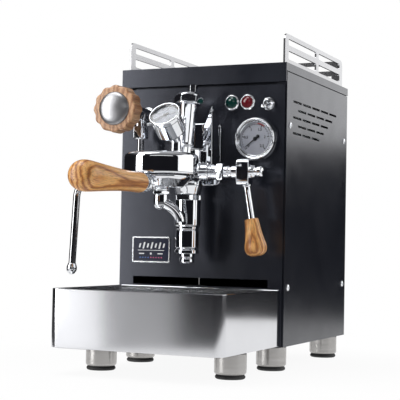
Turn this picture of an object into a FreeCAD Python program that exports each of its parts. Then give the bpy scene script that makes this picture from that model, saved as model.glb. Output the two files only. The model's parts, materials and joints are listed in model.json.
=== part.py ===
import FreeCAD, Part
import math
import os
import Sketcher
from FreeCAD import Placement, Rotation, Vector

# Compact heat-exchanger espresso machine with a lever-operated brew group.
#
# Frame: origin on the floor under the middle of the front panel, +X to the right of a person facing
# the front, +Y to the back, +Z up. Millimetres. Every sub-part is one object of this document, sized
# and placed by expressions on the sheet "size".

doc = FreeCAD.newDocument("espresso_machine")
size = doc.addObject("Spreadsheet::Sheet", "size")

SIZES = {
    # casing
    "body_width": 240, "body_depth": 263, "floor_gap": 32, "lid_top": 399.2, "sheet": 1.5, "play": 0.2,
    "base_wall": 14, "panel_top": 371, "panel_inset": 2.3, "top_fold": 8, "top_fold_half": 105,
    "top_fold_rise": 14, "side_top": 387.4, "return_flange": 12.5,
    "visor_drop": 24.7, "visor_proud": 2, "skirt_drop": 10.5, "lid_open_x": 104, "lid_open_front": 24,
    "lid_open_back": 243, "screw_r": 4.2, "screw_rise": 1.8, "screw_low": 108, "screw_high": 319,
    "screw_front": 15.5, "screw_back": 247, "slot_low": 107, "slot_high": 117.5, "slot_half": 98,
    # side and rear vents
    "vent_length": 32, "vent_height": 3, "vent_pitch": 37.6, "vent_row": 10.4, "vent_stagger": 19,
    "vent_front": 26, "vent_top": 351.6,
    # cup rails and cup tray
    "rail_x": 113, "rail_thick": 2.5, "rail_front": 7, "rail_back": 252, "rail_top": 439.5,
    "rail_bar": 6, "rail_post": 13, "rail_middle": 10, "rail_win_low": 406.5, "rail_win_low_top": 417.7,
    "rail_win_high": 425.1, "rail_corner": 9, "cup_sheet": 1.2, "cup_sink": 5.2,
    "cup_rim": 2.6, "cup_gap": 6,
    # feet
    "foot_r": 19.7, "pad_r": 18.5, "pad_rise": 6, "foot_front_x": 89.5, "foot_front_y": -98.2,
    "foot_x": 96, "foot_mid_y": 22.6, "foot_back_y": 235.8,
    # drip tray and grid
    "tray_half": 115.6, "tray_front": -185.5, "tray_back": -0.6, "tray_low": 33.1, "tray_high": 104.8,
    "tray_corner": 12, "tray_wall": 1.2, "tray_ledge": 4, "grid_seat": 99.5, "grid_thick": 2,
    "basin_floor": 60, "skirt_top": 58.5, "shelf_half": 108, "shelf_front": -176, "shelf_high": 58.3,
    "grid_slot": 36, "grid_slot_wide": 4, "grid_pitch_x": 9.5, "grid_pitch_y": 42.5,
    # nameplate
    "plate_x": -71.2, "plate_z": 153.5, "plate_wide": 56.6, "plate_tall": 34.6, "plate_thick": 1.6,
    "plate_rim": 1.8, "plate_sunk": 0.6,
    # lamps and switch
    "lamp_green_x": 43.6, "lamp_red_x": 66, "lamp_z": 349.2, "lamp_r": 10.5, "lens_r": 8,
    "switch_x": 95.6, "switch_z": 346, "switch_nut_r": 8.4, "switch_pivot": -4,
    # gauges
    "dial_x": 79, "dial_z": 300.4, "dial_r": 24.1, "bezel_r": 28.3, "bezel_proud": 9,
    "small_dial_r": 18, "small_bezel_r": 20.6, "small_gauge_y": -110, "small_gauge_z": 321.5,
    "small_gauge_long": 28.5,
    # brew group
    "bell_y": -117, "bell_r": 46, "bell_low": 246.4, "bell_high": 273.7, "lug_race_r": 38.6,
    "throat_r": 36.2, "seal_low": 258.5, "seal_top": 266, "column_y": -38, "column_r": 19,
    "cheek_depth": 33, "cheek_in": 16.7, "cheek_out": 30.5, "cheek_low": 240, "chamber_lean": 7.2,
    "chamber_y": -51.5, "chamber_low": 273.7, "chamber_long": 69.8, "chamber_r_low": 9.8,
    "chamber_r_high": 12, "cap_r": 19, "cap_turn": 24.5, "plug_x": 4.5,
    "collar_low": 217.9, "collar_high": 226, "infuse_r": 16.7, "infuse_low": 185, "sleeve_r": 15,
    "sleeve_low": 155.6, "drain_low": 137,
    # brew lever
    "cam_z": 255, "cam_r": 5, "lever_hub_x": 70, "lever_hub_wide": 17, "lever_lean": 10.3,
    "lever_rod_r": 4.3, "grip_start": 61, "grip_long": 47, "grip_r": 14.2,
    # portafilter
    "filter_r": 35, "bowl_low": 230.6, "rim_top": 257.9, "handle_z": 234.2, "handle_front": -320,
    "handle_start": -173, "handle_r_thin": 12, "handle_r_thick": 17.6, "spout_r": 9, "spout_low": 203.6,
    "spout_tip_x": 24, "spout_tip_y": -110, "spout_tip_z": 188.6,
    # steam side
    "steam_x": -79.8, "steam_z": 334.2, "knob_r": 31.2, "knob_back": -75, "knob_front": -97,
    "knob_cap_r": 21.6, "stem_r": 4, "wand_x": -77, "wand_y": -27, "wand_nut_low": 300,
    "wand_nut_high": 324, "wand_nut_r": 10.4, "wand_r": 4.5, "wand_bend": 24, "run_fit": 0.05,
    # inside
    "boiler_r": 55, "boiler_front": 30, "boiler_back": 140, "boiler_z": 300, "tank_half": 98,
    "tank_front": 176, "tank_back": 238, "tank_low": 120, "tank_high": 388, "tank_wall": 3,
    "inlet_x": 70, "inlet_z": 75, "inlet_wide": 28, "inlet_tall": 22,
}


def fill_sheet():
    """Writes every driving dimension into the sheet, one row each, with its name as alias."""
    for row, (name, value) in enumerate(SIZES.items(), start=1):
        size.set("A%d" % row, name)
        size.set("B%d" % row, str(value))
        size.setAlias("B%d" % row, name)
    doc.recompute()


def mm(text):
    """The present value of an expression on the sheet."""
    return float(size.evalExpression(text))


# ---------------------------------------------------------------- building helpers

def new_body(label):
    """One PartDesign body, which becomes one sub-part."""
    body = doc.addObject("PartDesign::Body", label)
    body.Label = label
    return body


def seat(item, base, toward=(0, 0, 1)):
    """Places an object: its own +Z turned toward a direction, its base bound to expressions."""
    item.Placement = Placement(Vector(0, 0, 0), Rotation(Vector(0, 0, 1), Vector(*toward)))
    for axis, text in zip("xyz", base):
        item.setExpression("Placement.Base." + axis, text)
    return item


def box(body, kind, span_x, span_y, span_z):
    """Adds or cuts a box between a low and a high expression on each axis. kind: Additive, Subtractive."""
    item = body.newObject("PartDesign::%sBox" % kind, kind + "Box")
    for prop, (low, high) in zip(("Length", "Width", "Height"), (span_x, span_y, span_z)):
        item.setExpression(prop, "(%s) - (%s)" % (high, low))
    return seat(item, (span_x[0], span_y[0], span_z[0]))


def rod(body, kind, radius, length, base, toward=(0, 0, 1)):
    """Adds or cuts a cylinder."""
    item = body.newObject("PartDesign::%sCylinder" % kind, kind + "Cylinder")
    item.setExpression("Radius", radius)
    item.setExpression("Height", length)
    return seat(item, base, toward)


def cone(body, kind, radius_low, radius_high, length, base, toward=(0, 0, 1)):
    """Adds or cuts a cone."""
    item = body.newObject("PartDesign::%sCone" % kind, kind + "Cone")
    item.setExpression("Radius1", radius_low)
    item.setExpression("Radius2", radius_high)
    item.setExpression("Height", length)
    return seat(item, base, toward)


def hexagon(body, kind, radius, length, base, toward=(0, 0, 1)):
    """Adds or cuts a hexagonal prism; radius is to its corners."""
    item = body.newObject("PartDesign::%sPrism" % kind, kind + "Prism")
    item.Polygon = 6
    item.setExpression("Circumradius", radius)
    item.setExpression("Height", length)
    return seat(item, base, toward)


def ball(body, radius, base):
    """Adds a sphere."""
    item = body.newObject("PartDesign::AdditiveSphere", "Ball")
    item.setExpression("Radius", radius)
    return seat(item, base)


def new_sketch(body, plane, shift="0"):
    """Empty sketch on one of the body's origin planes, moved along that plane's normal."""
    sketch = body.newObject("Sketcher::SketchObject", "Outline")
    origin = [item for item in body.Origin.OriginFeatures if item.Role == plane][0]
    sketch.AttachmentSupport = [(origin, "")]
    sketch.MapMode = "FlatFace"
    sketch.setExpression("AttachmentOffset.Base.z", shift)
    return sketch


def draw(sketch, corners):
    """Closed outline of straight edges; each corner is a pair of expressions tied to the sheet."""
    spots = [Vector(mm(across), mm(up), 0) for across, up in corners]
    count = len(spots)
    for index in range(count):
        sketch.addGeometry(Part.LineSegment(spots[index], spots[(index + 1) % count]), False)
    for index in range(count):
        sketch.addConstraint(Sketcher.Constraint("Coincident", index, 2, (index + 1) % count, 1))
    for index, corner in enumerate(corners):
        for kind, text in zip(("DistanceX", "DistanceY"), corner):
            number = sketch.addConstraint(Sketcher.Constraint(kind, -1, 1, index, 1, mm(text)))
            sketch.setExpression("Constraints[%d]" % number, text)
    return sketch


def turned(label, corners, base, toward=(0, 0, 1)):
    """A lathe-turned piece: an outline of (radius, height) pairs, spun about the piece's own Z."""
    body = new_body(label)
    spin(body, draw(new_sketch(body, "XZ_Plane"), corners))
    return seat(body, base, toward)


def spin(body, sketch):
    """Revolves a sketch a full turn about its own vertical axis."""
    turn = body.newObject("PartDesign::Revolution", "Turn")
    turn.Profile = sketch
    turn.ReferenceAxis = (sketch, ["V_Axis"])
    turn.Angle = 360
    return turn


def repeat(body, feature, role, count, length):
    """Repeats a feature along one of the body's origin axes: count copies over a length."""
    pattern = body.newObject("PartDesign::LinearPattern", "Row")
    pattern.Originals = [feature]
    axis = [item for item in body.Origin.OriginFeatures if item.Role == role][0]
    pattern.Direction = (axis, [""])
    pattern.setExpression("Length", length)
    pattern.Occurrences = count
    body.Tip = pattern
    return pattern


def round_edges(body, radius, chosen):
    """Rounds those edges of a body for which chosen(edge) is true."""
    doc.recompute()
    names = ["Edge%d" % number for number, edge in enumerate(body.Shape.Edges, start=1) if chosen(edge)]
    solid = body.Tip
    fillet = body.newObject("PartDesign::Fillet", "Rounding")
    fillet.Base = (solid, names)
    fillet.setExpression("Radius", radius)
    body.Tip = fillet
    return fillet


def runs_along(edge, axis):
    """True for a straight edge parallel to an axis given as 'x', 'y' or 'z'."""
    if edge.Curve.TypeId != "Part::GeomLine":
        return False
    return abs(getattr(edge.Curve.Direction, axis)) > 0.999


def group_of(label, members):
    """Several separate solids kept together as one sub-part."""
    item = doc.addObject("Part::Compound", label)
    item.Label = label
    item.Links = members
    return item


def block(name, span_x, span_y, span_z):
    """A Part box between a low and a high expression on each axis."""
    item = doc.addObject("Part::Box", name)
    for prop, (low, high) in zip(("Length", "Width", "Height"), (span_x, span_y, span_z)):
        item.setExpression(prop, "(%s) - (%s)" % (high, low))
    return seat(item, (span_x[0], span_y[0], span_z[0]))


def round_front(item, radius):
    """Rounds a box's two upright edges at the front."""
    doc.recompute()
    front = item.Shape.BoundBox.YMin
    fillet = doc.addObject("Part::Fillet", item.Name + "_rounded")
    fillet.Base = item
    fillet.Edges = [(number, radius, radius) for number, edge in enumerate(item.Shape.Edges, start=1)
                    if runs_along(edge, "z") and abs(edge.BoundBox.YMin - front) < 0.01]
    return fillet


def both(text):
    """The pair of expressions (-text, text), for a span that is centred on x = 0."""
    return ("-(%s)" % text, text)


def mirrored(side, low, high):
    """A span on the right side (side 1) or its mirror image on the left (side -1)."""
    return (low, high) if side > 0 else ("-(%s)" % high, "-(%s)" % low)


FORWARD = (0, -1, 0)
BACKWARD = (0, 1, 0)
RIGHT = (1, 0, 0)
LEFT = (-1, 0, 0)


# ---------------------------------------------------------------- casing

def make_chassis_base():
    """Folded base pan: it runs forward under the drip tray as its shelf, and its bracket holds the tank."""
    body = new_body("chassis_base")
    half = "size.body_width / 2 - size.sheet - size.play"
    front, back = "size.sheet + 0.3", "size.body_depth - size.sheet - size.play"
    box(body, "Additive", both(half), (front, back), ("size.floor_gap", "size.floor_gap + size.base_wall"))
    box(body, "Subtractive", both(half + " - size.sheet"), (front + " + size.sheet", back + " - size.sheet"),
        ("size.floor_gap + size.sheet", "size.floor_gap + size.base_wall + 1"))
    box(body, "Additive", both("size.shelf_half"), ("size.shelf_front", front),
        ("size.floor_gap", "size.floor_gap + size.sheet"))
    box(body, "Additive", both("size.shelf_half"), ("size.shelf_front", "-0.3"),
        ("size.floor_gap", "size.shelf_high"))
    box(body, "Subtractive", both("size.shelf_half - size.sheet"), ("size.shelf_front + size.sheet", "1"),
        ("size.floor_gap + size.sheet", "size.shelf_high + 1"))
    bracket = ("size.tank_front - 4", "size.tank_back + 4")
    box(body, "Additive", both(half), bracket, ("size.tank_low - size.sheet", "size.tank_low"))
    for side in (1, -1):
        box(body, "Additive", mirrored(side, half + " - size.sheet", half), bracket,
            ("size.floor_gap", "size.tank_low"))


def make_front_panel():
    """Upright front sheet with the holes for the group pipes, gauge, lamps, switch and steam valve."""
    body = new_body("front_panel")
    box(body, "Additive", both("size.body_width / 2 - size.panel_inset"), ("0", "size.sheet"),
        ("size.floor_gap + size.sheet + 0.3", "size.panel_top"))
    box(body, "Subtractive", both("size.slot_half"), ("-1", "size.sheet + 1"),
        ("size.slot_low", "size.slot_high"))
    box(body, "Subtractive", both("14"), ("-1", "size.sheet + 1"), ("254", "320"))
    box(body, "Additive", both("size.top_fold_half"), ("0", "size.top_fold"),
        ("size.panel_top - size.sheet", "size.panel_top"))
    box(body, "Additive", both("size.top_fold_half"), ("size.top_fold - size.sheet", "size.top_fold"),
        ("size.panel_top - size.sheet", "size.panel_top + size.top_fold_rise"))
    holes = [
        ("8.5", "size.lamp_green_x", "size.lamp_z"),
        ("8.5", "size.lamp_red_x", "size.lamp_z"),
        ("6.3", "size.switch_x", "size.switch_z"),
        ("26.2", "size.dial_x", "size.dial_z"),
        ("6.5", "size.steam_x", "size.steam_z"),
    ]
    for radius, across, up in holes:
        rod(body, "Subtractive", radius, "size.sheet + 2", (across, "-1", up), BACKWARD)


def make_side_panel(label, side):
    """Side sheet with a return flange behind the front panel and five staggered rows of vents."""
    body = new_body(label)
    outer, inner = "size.body_width / 2", "size.body_width / 2 - size.sheet"
    front, back = "1.9", "size.body_depth - size.sheet - size.play"
    box(body, "Additive", mirrored(side, inner, outer), (front, back), ("size.floor_gap", "size.side_top"))
    box(body, "Additive", mirrored(side, inner + " - size.return_flange", inner),
        (front, front + " + size.sheet"),
        ("size.floor_gap + size.base_wall + size.play", "size.side_top - 2"))
    for row, count in enumerate((5, 4, 4, 3, 3)):
        start = "size.vent_front + %d * size.vent_stagger" % (row % 2)
        middle = "size.vent_top - %d * size.vent_row" % row
        slot = box(body, "Subtractive", mirrored(side, inner + " - 1", outer + " + 1"),
                   (start, start + " + size.vent_length"),
                   (middle + " - size.vent_height / 2", middle + " + size.vent_height / 2"))
        repeat(body, slot, "Y_Axis", count, "%d * size.vent_pitch" % (count - 1))


def make_rear_panel():
    """Rear sheet with the opening for the power inlet and a stack of vents."""
    body = new_body("rear_panel")
    box(body, "Additive", both("size.body_width / 2 - size.sheet - size.play"),
        ("size.body_depth - size.sheet", "size.body_depth"), ("size.floor_gap", "size.side_top"))
    through = ("size.body_depth - size.sheet - 1", "size.body_depth + 1")
    box(body, "Subtractive", ("size.inlet_x - size.inlet_wide / 2 - size.play",
                              "size.inlet_x + size.inlet_wide / 2 + size.play"), through,
        ("size.inlet_z - size.inlet_tall / 2 - size.play", "size.inlet_z + size.inlet_tall / 2 + size.play"))
    vent = box(body, "Subtractive", both("30"), through, ("150", "150 + size.vent_height"))
    repeat(body, vent, "Z_Axis", 8, "7 * size.vent_row")


def make_lid():
    """Top cover with short side skirts, a deep front visor and the opening for the cup tray."""
    body = new_body("lid")
    half = "size.body_width / 2"
    front, back = "-size.visor_proud", "size.body_depth + 0.2"
    skirt = "size.lid_top - size.skirt_drop"
    box(body, "Additive", both(half), (front, back), (skirt, "size.lid_top"))
    box(body, "Subtractive", both(half + " - size.sheet"), (front + " + size.sheet", back + " - size.sheet"),
        (skirt + " - 1", "size.lid_top - size.sheet"))
    box(body, "Additive", both(half), (front, front + " + size.sheet"),
        ("size.lid_top - size.visor_drop", skirt))
    box(body, "Subtractive", both("size.lid_open_x"), ("size.lid_open_front", "size.lid_open_back"),
        (skirt, "size.lid_top + 1"))


def make_cup_tray():
    """Lift-off cup-warming tray: a shallow slotted pan whose rim rests on the lid."""
    body = new_body("cup_tray")
    half = "size.lid_open_x - size.cup_gap"
    front, back = "size.lid_open_front + size.cup_gap", "size.lid_open_back - size.cup_gap"
    rim_top = "size.lid_top + size.cup_sheet"
    rim_span = ("size.lid_open_front - size.cup_rim", "size.lid_open_back + size.cup_rim")
    box(body, "Additive", both("size.lid_open_x + size.cup_rim"), rim_span, ("size.lid_top", rim_top))
    box(body, "Additive", both(half), (front, back), ("size.lid_top - size.cup_sink", "size.lid_top"))
    box(body, "Subtractive", both(half + " - size.cup_sheet"),
        (front + " + size.cup_sheet", back + " - size.cup_sheet"),
        ("size.lid_top - size.cup_sink + size.cup_sheet", rim_top + " + 1"))
    for row in range(4):
        start = "size.lid_open_front + 16 + %d * 48" % row
        slot = box(body, "Subtractive", ("-90", "-85"), (start, start + " + 40"),
                   ("size.lid_top - size.cup_sink - 1", "size.lid_top"))
        repeat(body, slot, "X_Axis", 14, "175")


def cut_rail_windows(body, spans, place_box):
    """Cuts two rows of windows in a rail; place_box puts a span across the rail's own direction."""
    rows = (("size.rail_win_low", "size.rail_win_low_top"),
            ("size.rail_win_high", "size.rail_top - size.rail_bar"))
    for row in rows:
        for span in spans:
            place_box(body, span, row)


def make_side_rail(label, side):
    """Flat polished rail with two rows of windows, along one side of the lid."""
    body = new_body(label)
    thick = mirrored(side, "size.rail_x - size.rail_thick / 2", "size.rail_x + size.rail_thick / 2")
    wide_cut = mirrored(side, "size.rail_x - 5", "size.rail_x + 5")
    box(body, "Additive", thick, ("size.rail_front", "size.rail_back"), ("size.lid_top", "size.rail_top"))
    middle = "(size.rail_front + size.rail_back) / 2 + 8"
    spans = (("size.rail_front + size.rail_post", middle + " - size.rail_middle / 2"),
             (middle + " + size.rail_middle / 2", "size.rail_back - size.rail_post"))
    cut_rail_windows(body, spans, lambda owner, span, row: box(owner, "Subtractive", wide_cut, span, row))
    top = mm("size.rail_top")
    round_edges(body, "size.rail_corner",
                lambda edge: runs_along(edge, "x") and edge.BoundBox.ZMin > top - 0.1)
    low, high = mm("size.rail_front") + 5, mm("size.rail_back") - 5
    round_edges(body, "2.5", lambda edge: runs_along(edge, "x") and low < edge.BoundBox.YMin < high
                and mm("size.lid_top") + 1 < edge.BoundBox.ZMin < top - 1)


def make_rear_rail():
    """The same rail across the back of the lid."""
    body = new_body("cup_rail_rear")
    half = "size.rail_x - size.rail_thick / 2 - 0.25"
    thick = ("size.rail_back - size.rail_thick", "size.rail_back")
    wide_cut = ("size.rail_back - 6", "size.rail_back + 4")
    box(body, "Additive", both(half), thick, ("size.lid_top", "size.rail_top"))
    spans = (("-(%s) + size.rail_post" % half, "-size.rail_middle / 2"),
             ("size.rail_middle / 2", half + " - size.rail_post"))
    cut_rail_windows(body, spans, lambda owner, span, row: box(owner, "Subtractive", span, wide_cut, row))


def foot_places():
    """The six feet: a pair under the drip tray and two pairs under the case."""
    rows = (("size.foot_front_x", "size.foot_front_y"), ("size.foot_x", "size.foot_mid_y"),
            ("size.foot_x", "size.foot_back_y"))
    return [(side + across, along) for across, along in rows for side in ("", "-")]


def make_feet():
    """Six brushed foot cylinders and the rubber pads under them."""
    for label, radius, low, high in (("feet", "size.foot_r", "size.pad_rise", "size.floor_gap"),
                                     ("foot_pads", "size.pad_r", "0", "size.pad_rise")):
        members = []
        for across, along in foot_places():
            item = doc.addObject("Part::Cylinder", label + "_one")
            item.setExpression("Radius", radius)
            item.setExpression("Height", "(%s) - (%s)" % (high, low))
            members.append(seat(item, (across, along, low)))
        group_of(label, members)


def make_side_screws():
    """Low round screw heads near the front and rear edges of both side panels."""
    members = []
    for side, toward in (("", RIGHT), ("-", LEFT)):
        for along in ("size.screw_front", "size.screw_back"):
            for up in ("size.screw_low", "size.screw_high"):
                item = doc.addObject("Part::Cone", "screw_head")
                item.setExpression("Radius1", "size.screw_r")
                item.setExpression("Radius2", "size.screw_r * 0.6")
                item.setExpression("Height", "size.screw_rise")
                members.append(seat(item, (side + "size.body_width / 2", along, up), toward))
    group_of("side_screws", members)


def make_nameplate():
    """Thin rectangular plate with a raised rim."""
    body = new_body("nameplate")
    span_x = ("size.plate_x - size.plate_wide / 2", "size.plate_x + size.plate_wide / 2")
    span_z = ("size.plate_z - size.plate_tall / 2", "size.plate_z + size.plate_tall / 2")
    box(body, "Additive", span_x, ("-size.plate_thick", "0"), span_z)
    box(body, "Subtractive", (span_x[0] + " + size.plate_rim", span_x[1] + " - size.plate_rim"),
        ("-size.plate_thick - 1", "-size.plate_thick + size.plate_sunk"),
        (span_z[0] + " + size.plate_rim", span_z[1] + " - size.plate_rim"))


# ---------------------------------------------------------------- drip tray

def make_drip_tray():
    """Pull-out tray: a deep polished front and sides, a basin, and a hollow skirt over its shelf."""
    half, front, back = "size.tray_half", "size.tray_front", "size.tray_back"
    corner = mm("size.tray_corner")
    wall = mm("size.tray_wall")
    ledge = mm("size.tray_ledge")
    outer = round_front(block("tray_outer", both(half), (front, back), ("size.tray_low", "size.tray_high")),
                        corner)
    cuts = []
    hollows = (
        ("tray_mouth", "size.tray_wall", "size.grid_seat", "size.tray_high + 1", back + " - size.tray_wall"),
        ("tray_basin", "size.tray_ledge", "size.basin_floor", "size.grid_seat + 0.5",
         back + " - size.tray_ledge"),
        ("tray_skirt", "size.tray_wall", "size.tray_low - 1", "size.skirt_top", back + " + 5"),
    )
    for name, inset, low, high, rear in hollows:
        item = block(name, both("%s - %s" % (half, inset)), ("%s + %s" % (front, inset), rear), (low, high))
        cuts.append(round_front(item, corner - (ledge if name == "tray_basin" else wall)))
    tool = doc.addObject("Part::MultiFuse", "tray_hollows")
    tool.Shapes = cuts
    tray = doc.addObject("Part::Cut", "drip_tray")
    tray.Label = "drip_tray"
    tray.Base = outer
    tray.Tool = tool


def make_drip_grid():
    """Slotted plate that rests on the ledge inside the tray's mouth."""
    body = new_body("drip_grid")
    half = "size.tray_half - size.tray_wall - 0.6"
    front = "size.tray_front + size.tray_wall + 0.6"
    back = "size.tray_back - size.tray_wall - 0.6"
    box(body, "Additive", both(half), (front, back), ("size.grid_seat", "size.grid_seat + size.grid_thick"))
    for row in range(4):
        start = front + " + 10 + %d * size.grid_pitch_y" % row
        slot = box(body, "Subtractive", ("-11 * size.grid_pitch_x - size.grid_slot_wide / 2",
                                         "-11 * size.grid_pitch_x + size.grid_slot_wide / 2"),
                   (start, start + " + size.grid_slot"),
                   ("size.grid_seat - 1", "size.grid_seat + size.grid_thick + 1"))
        repeat(body, slot, "X_Axis", 23, "22 * size.grid_pitch_x")
    nose = mm(front)
    round_edges(body, "size.tray_corner - size.tray_wall - 0.6",
                lambda edge: runs_along(edge, "z") and abs(edge.BoundBox.YMin - nose) < 0.01)


# ---------------------------------------------------------------- lamps, switch and gauges

def make_lamps():
    """Two chrome lamp bezels, and a domed lens in each."""
    rim = [("size.lens_r + 0.2", "0"), ("size.lamp_r", "0"), ("size.lamp_r", "2.4"),
           ("size.lamp_r - 1.2", "3.6"), ("size.lens_r + 0.2", "3.6")]
    sleeve = [("7", "-15"), ("8.3", "-15"), ("8.3", "0"), ("7", "0")]
    bezels = []
    for across in ("size.lamp_green_x", "size.lamp_red_x"):
        for outline in (rim, sleeve):
            bezels.append(turned("bezel_ring", outline, (across, "0", "size.lamp_z"), FORWARD))
    joined = []
    for index in (0, 2):
        pair = doc.addObject("Part::MultiFuse", "bezel_joined")
        pair.Shapes = bezels[index:index + 2]
        joined.append(pair)
    group_of("lamp_bezels", joined)
    lens = [("0", "-12"), ("6.8", "-12"), ("6.8", "0.3"), ("size.lens_r", "0.3"), ("size.lens_r", "3.4"),
            ("size.lens_r * 0.6", "4.8"), ("0", "5.2")]
    for label, across in (("lamp_lens_green", "size.lamp_green_x"), ("lamp_lens_red", "size.lamp_red_x")):
        turned(label, lens, (across, "0", "size.lamp_z"), FORWARD)


def make_switch():
    """Toggle switch: the body behind the panel with its threaded bush and nut, and its lever."""
    body = new_body("switch_body")
    box(body, "Additive", ("size.switch_x - 8", "size.switch_x + 8"), ("size.sheet + 0.2", "27"),
        ("size.switch_z - 13", "size.switch_z + 13"))
    rod(body, "Additive", "6", "10", ("size.switch_x", "2", "size.switch_z"), FORWARD)
    hexagon(body, "Additive", "size.switch_nut_r", "2.6", ("size.switch_x", "0", "size.switch_z"), FORWARD)
    rod(body, "Subtractive", "4.4", "9.5", ("size.switch_x", "1", "size.switch_z"), FORWARD)
    lean = math.radians(17)
    lever = turned("switch_lever", [("0", "-2.9"), ("2.2", "-2"), ("2.9", "0"), ("2.2", "2"), ("1.5", "3"),
                                    ("1.5", "8"), ("2.9", "16"), ("2.4", "17.6"), ("0", "18")],
                   ("size.switch_x", "size.switch_pivot", "size.switch_z"),
                   (0, -math.cos(lean), -math.sin(lean)))
    rod(lever, "Additive", "1.9", "5.6", ("-2.8", "0", "0"), RIGHT)


GAUGE_TILT = (0, -0.75, 0.6614)


def on_small_gauge(distance):
    """Base on the small gauge's axis, at a distance in front of its dial."""
    return ("0", "size.small_gauge_y - 0.75 * (%s)" % distance,
            "size.small_gauge_z + 0.6614 * (%s)" % distance)


def make_gauge_cases():
    """The boiler gauge in the panel, and the small tilted gauge on top of the group."""
    turned("boiler_gauge_case", [("0", "-36"), ("6", "-36"), ("6", "-25"), ("25.9", "-25"), ("25.9", "0"),
                                 ("size.bezel_r", "0"), ("size.bezel_r", "size.bezel_proud - 3"),
                                 ("size.bezel_r - 1.5", "size.bezel_proud"),
                                 ("size.dial_r + 0.3", "size.bezel_proud"), ("size.dial_r + 0.3", "3"),
                                 ("0", "3")],
           ("size.dial_x", "0", "size.dial_z"), FORWARD)
    turned("group_gauge_case", [("0", "-size.small_gauge_long"), ("17", "-size.small_gauge_long"),
                                ("19", "-size.small_gauge_long + 2"), ("19", "-3.4"),
                                ("size.small_bezel_r", "-2.4"), ("size.small_bezel_r", "2.4"),
                                ("size.small_bezel_r - 1", "3.6"), ("size.small_dial_r + 0.2", "3.6"),
                                ("size.small_dial_r + 0.2", "-1.2"), ("0", "-1.2")],
           on_small_gauge("0"), GAUGE_TILT)


def make_gauge_faces():
    """Dial discs and glasses of both gauges, and the two pointers."""
    faces = {}
    for kind, radius_cut, large, small in (("dial", "0", ("3", "3.5"), ("-1.2", "-0.8")),
                                           ("glass", "0.1", ("7", "8.2"), ("2", "3.1"))):
        members = []
        for name, radius, span, base, toward in (
                ("boiler", "size.dial_r", large, ("size.dial_x", "0", "size.dial_z"), FORWARD),
                ("group", "size.small_dial_r", small, on_small_gauge("0"), GAUGE_TILT)):
            edge = "%s - %s" % (radius, radius_cut)
            members.append(turned("%s_%s" % (name, kind), [("0", span[0]), (edge, span[0]),
                                                           (edge, span[1]), ("0", span[1])], base, toward))
        faces[kind] = members
    group_of("gauge_dials", faces["dial"])
    group_of("gauge_glasses", faces["glass"])


def make_needle(label, radius, thick, base, toward, hub):
    """Pointer: a tapered blade with a counterweight and a round hub, turning about its own Z."""
    body = new_body(label)
    reach, tail = "%s * 0.80" % radius, "%s * 0.34" % radius
    blade = draw(new_sketch(body, "XY_Plane"), [("-(%s)" % tail, "-1.4"), ("0", "-1"), (reach, "-0.25"),
                                                (reach, "0.25"), ("0", "1"), ("-(%s)" % tail, "1.4")])
    pad = body.newObject("PartDesign::Pad", "Blade")
    pad.Profile = blade
    pad.setExpression("Length", thick)
    rod(body, "Additive", hub, "%s + 0.9" % thick, ("0", "0", "-0.5"))
    seat(body, base, toward)
    turn = Rotation(Vector(0, 0, 1), Vector(*toward)).multiply(Rotation(Vector(0, 0, 1), -130))
    body.Placement = Placement(body.Placement.Base, turn)


def make_gauge_adapter():
    """Elbow that carries the small gauge on the bell: a hexagon, a riser, a ball and a tilted neck."""
    body = new_body("gauge_adapter")
    foot = ("0", "-77.5", "size.bell_high")
    hexagon(body, "Additive", "9", "6", foot)
    rod(body, "Additive", "7", "19", foot)
    ball(body, "7.6", ("0", "-77.5", "size.bell_high + 19.1"))
    rod(body, "Additive", "7", "14.6", on_small_gauge("-size.small_gauge_long"), (0, 0.75, -0.6614))


# ---------------------------------------------------------------- brew group

def make_group_body():
    """Chromed group casting: the bell, the neck, the column, the leaning upper chamber and two cheeks."""
    body = new_body("group_body")
    bell = draw(new_sketch(body, "XZ_Plane", "-size.bell_y"), [
        ("0", "size.bell_high"), ("size.bell_r - 4.5", "size.bell_high"),
        ("size.bell_r - 1.4", "size.bell_high - 1.6"),
        ("size.bell_r", "size.bell_high - 4.8"), ("size.bell_r", "size.bell_low + 1.3"),
        ("size.bell_r - 1.3", "size.bell_low"), ("size.throat_r + 0.9", "size.bell_low"),
        ("size.throat_r + 0.9", "size.bell_low + 2"), ("size.lug_race_r", "size.bell_low + 2"),
        ("size.lug_race_r", "size.seal_low"), ("size.throat_r", "size.seal_low"),
        ("size.throat_r", "size.seal_top"), ("0", "size.seal_top")])
    spin(body, bell)
    box(body, "Additive", both("24"), ("size.bell_y + 41", "-30"), ("size.bell_low - 6.9", "size.bell_high"))
    rod(body, "Additive", "size.column_r", "48", ("0", "size.column_y", "238"))
    cone(body, "Additive", "15.5", "size.column_r", "12.1", ("0", "size.column_y", "size.collar_high"))
    lean = math.radians(mm("size.chamber_lean"))
    cone(body, "Additive", "size.chamber_r_low", "size.chamber_r_high", "size.chamber_long",
         ("0", "size.chamber_y", "size.chamber_low"), (0, math.sin(lean), math.cos(lean)))
    rod(body, "Additive", "12", "15.2", ("16", "size.column_y", "size.cam_z"), RIGHT)
    rod(body, "Additive", "12", "11", ("-16", "size.column_y", "size.cam_z"), LEFT)
    box(body, "Additive", both("31"), ("-7", "0"), ("size.cheek_low", "322"))
    for sign in ("", "-"):
        make_cheek(body, sign)
    rod(body, "Subtractive", "size.cam_r + size.run_fit", "15", ("17", "size.column_y", "size.cam_z"), RIGHT)


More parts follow.
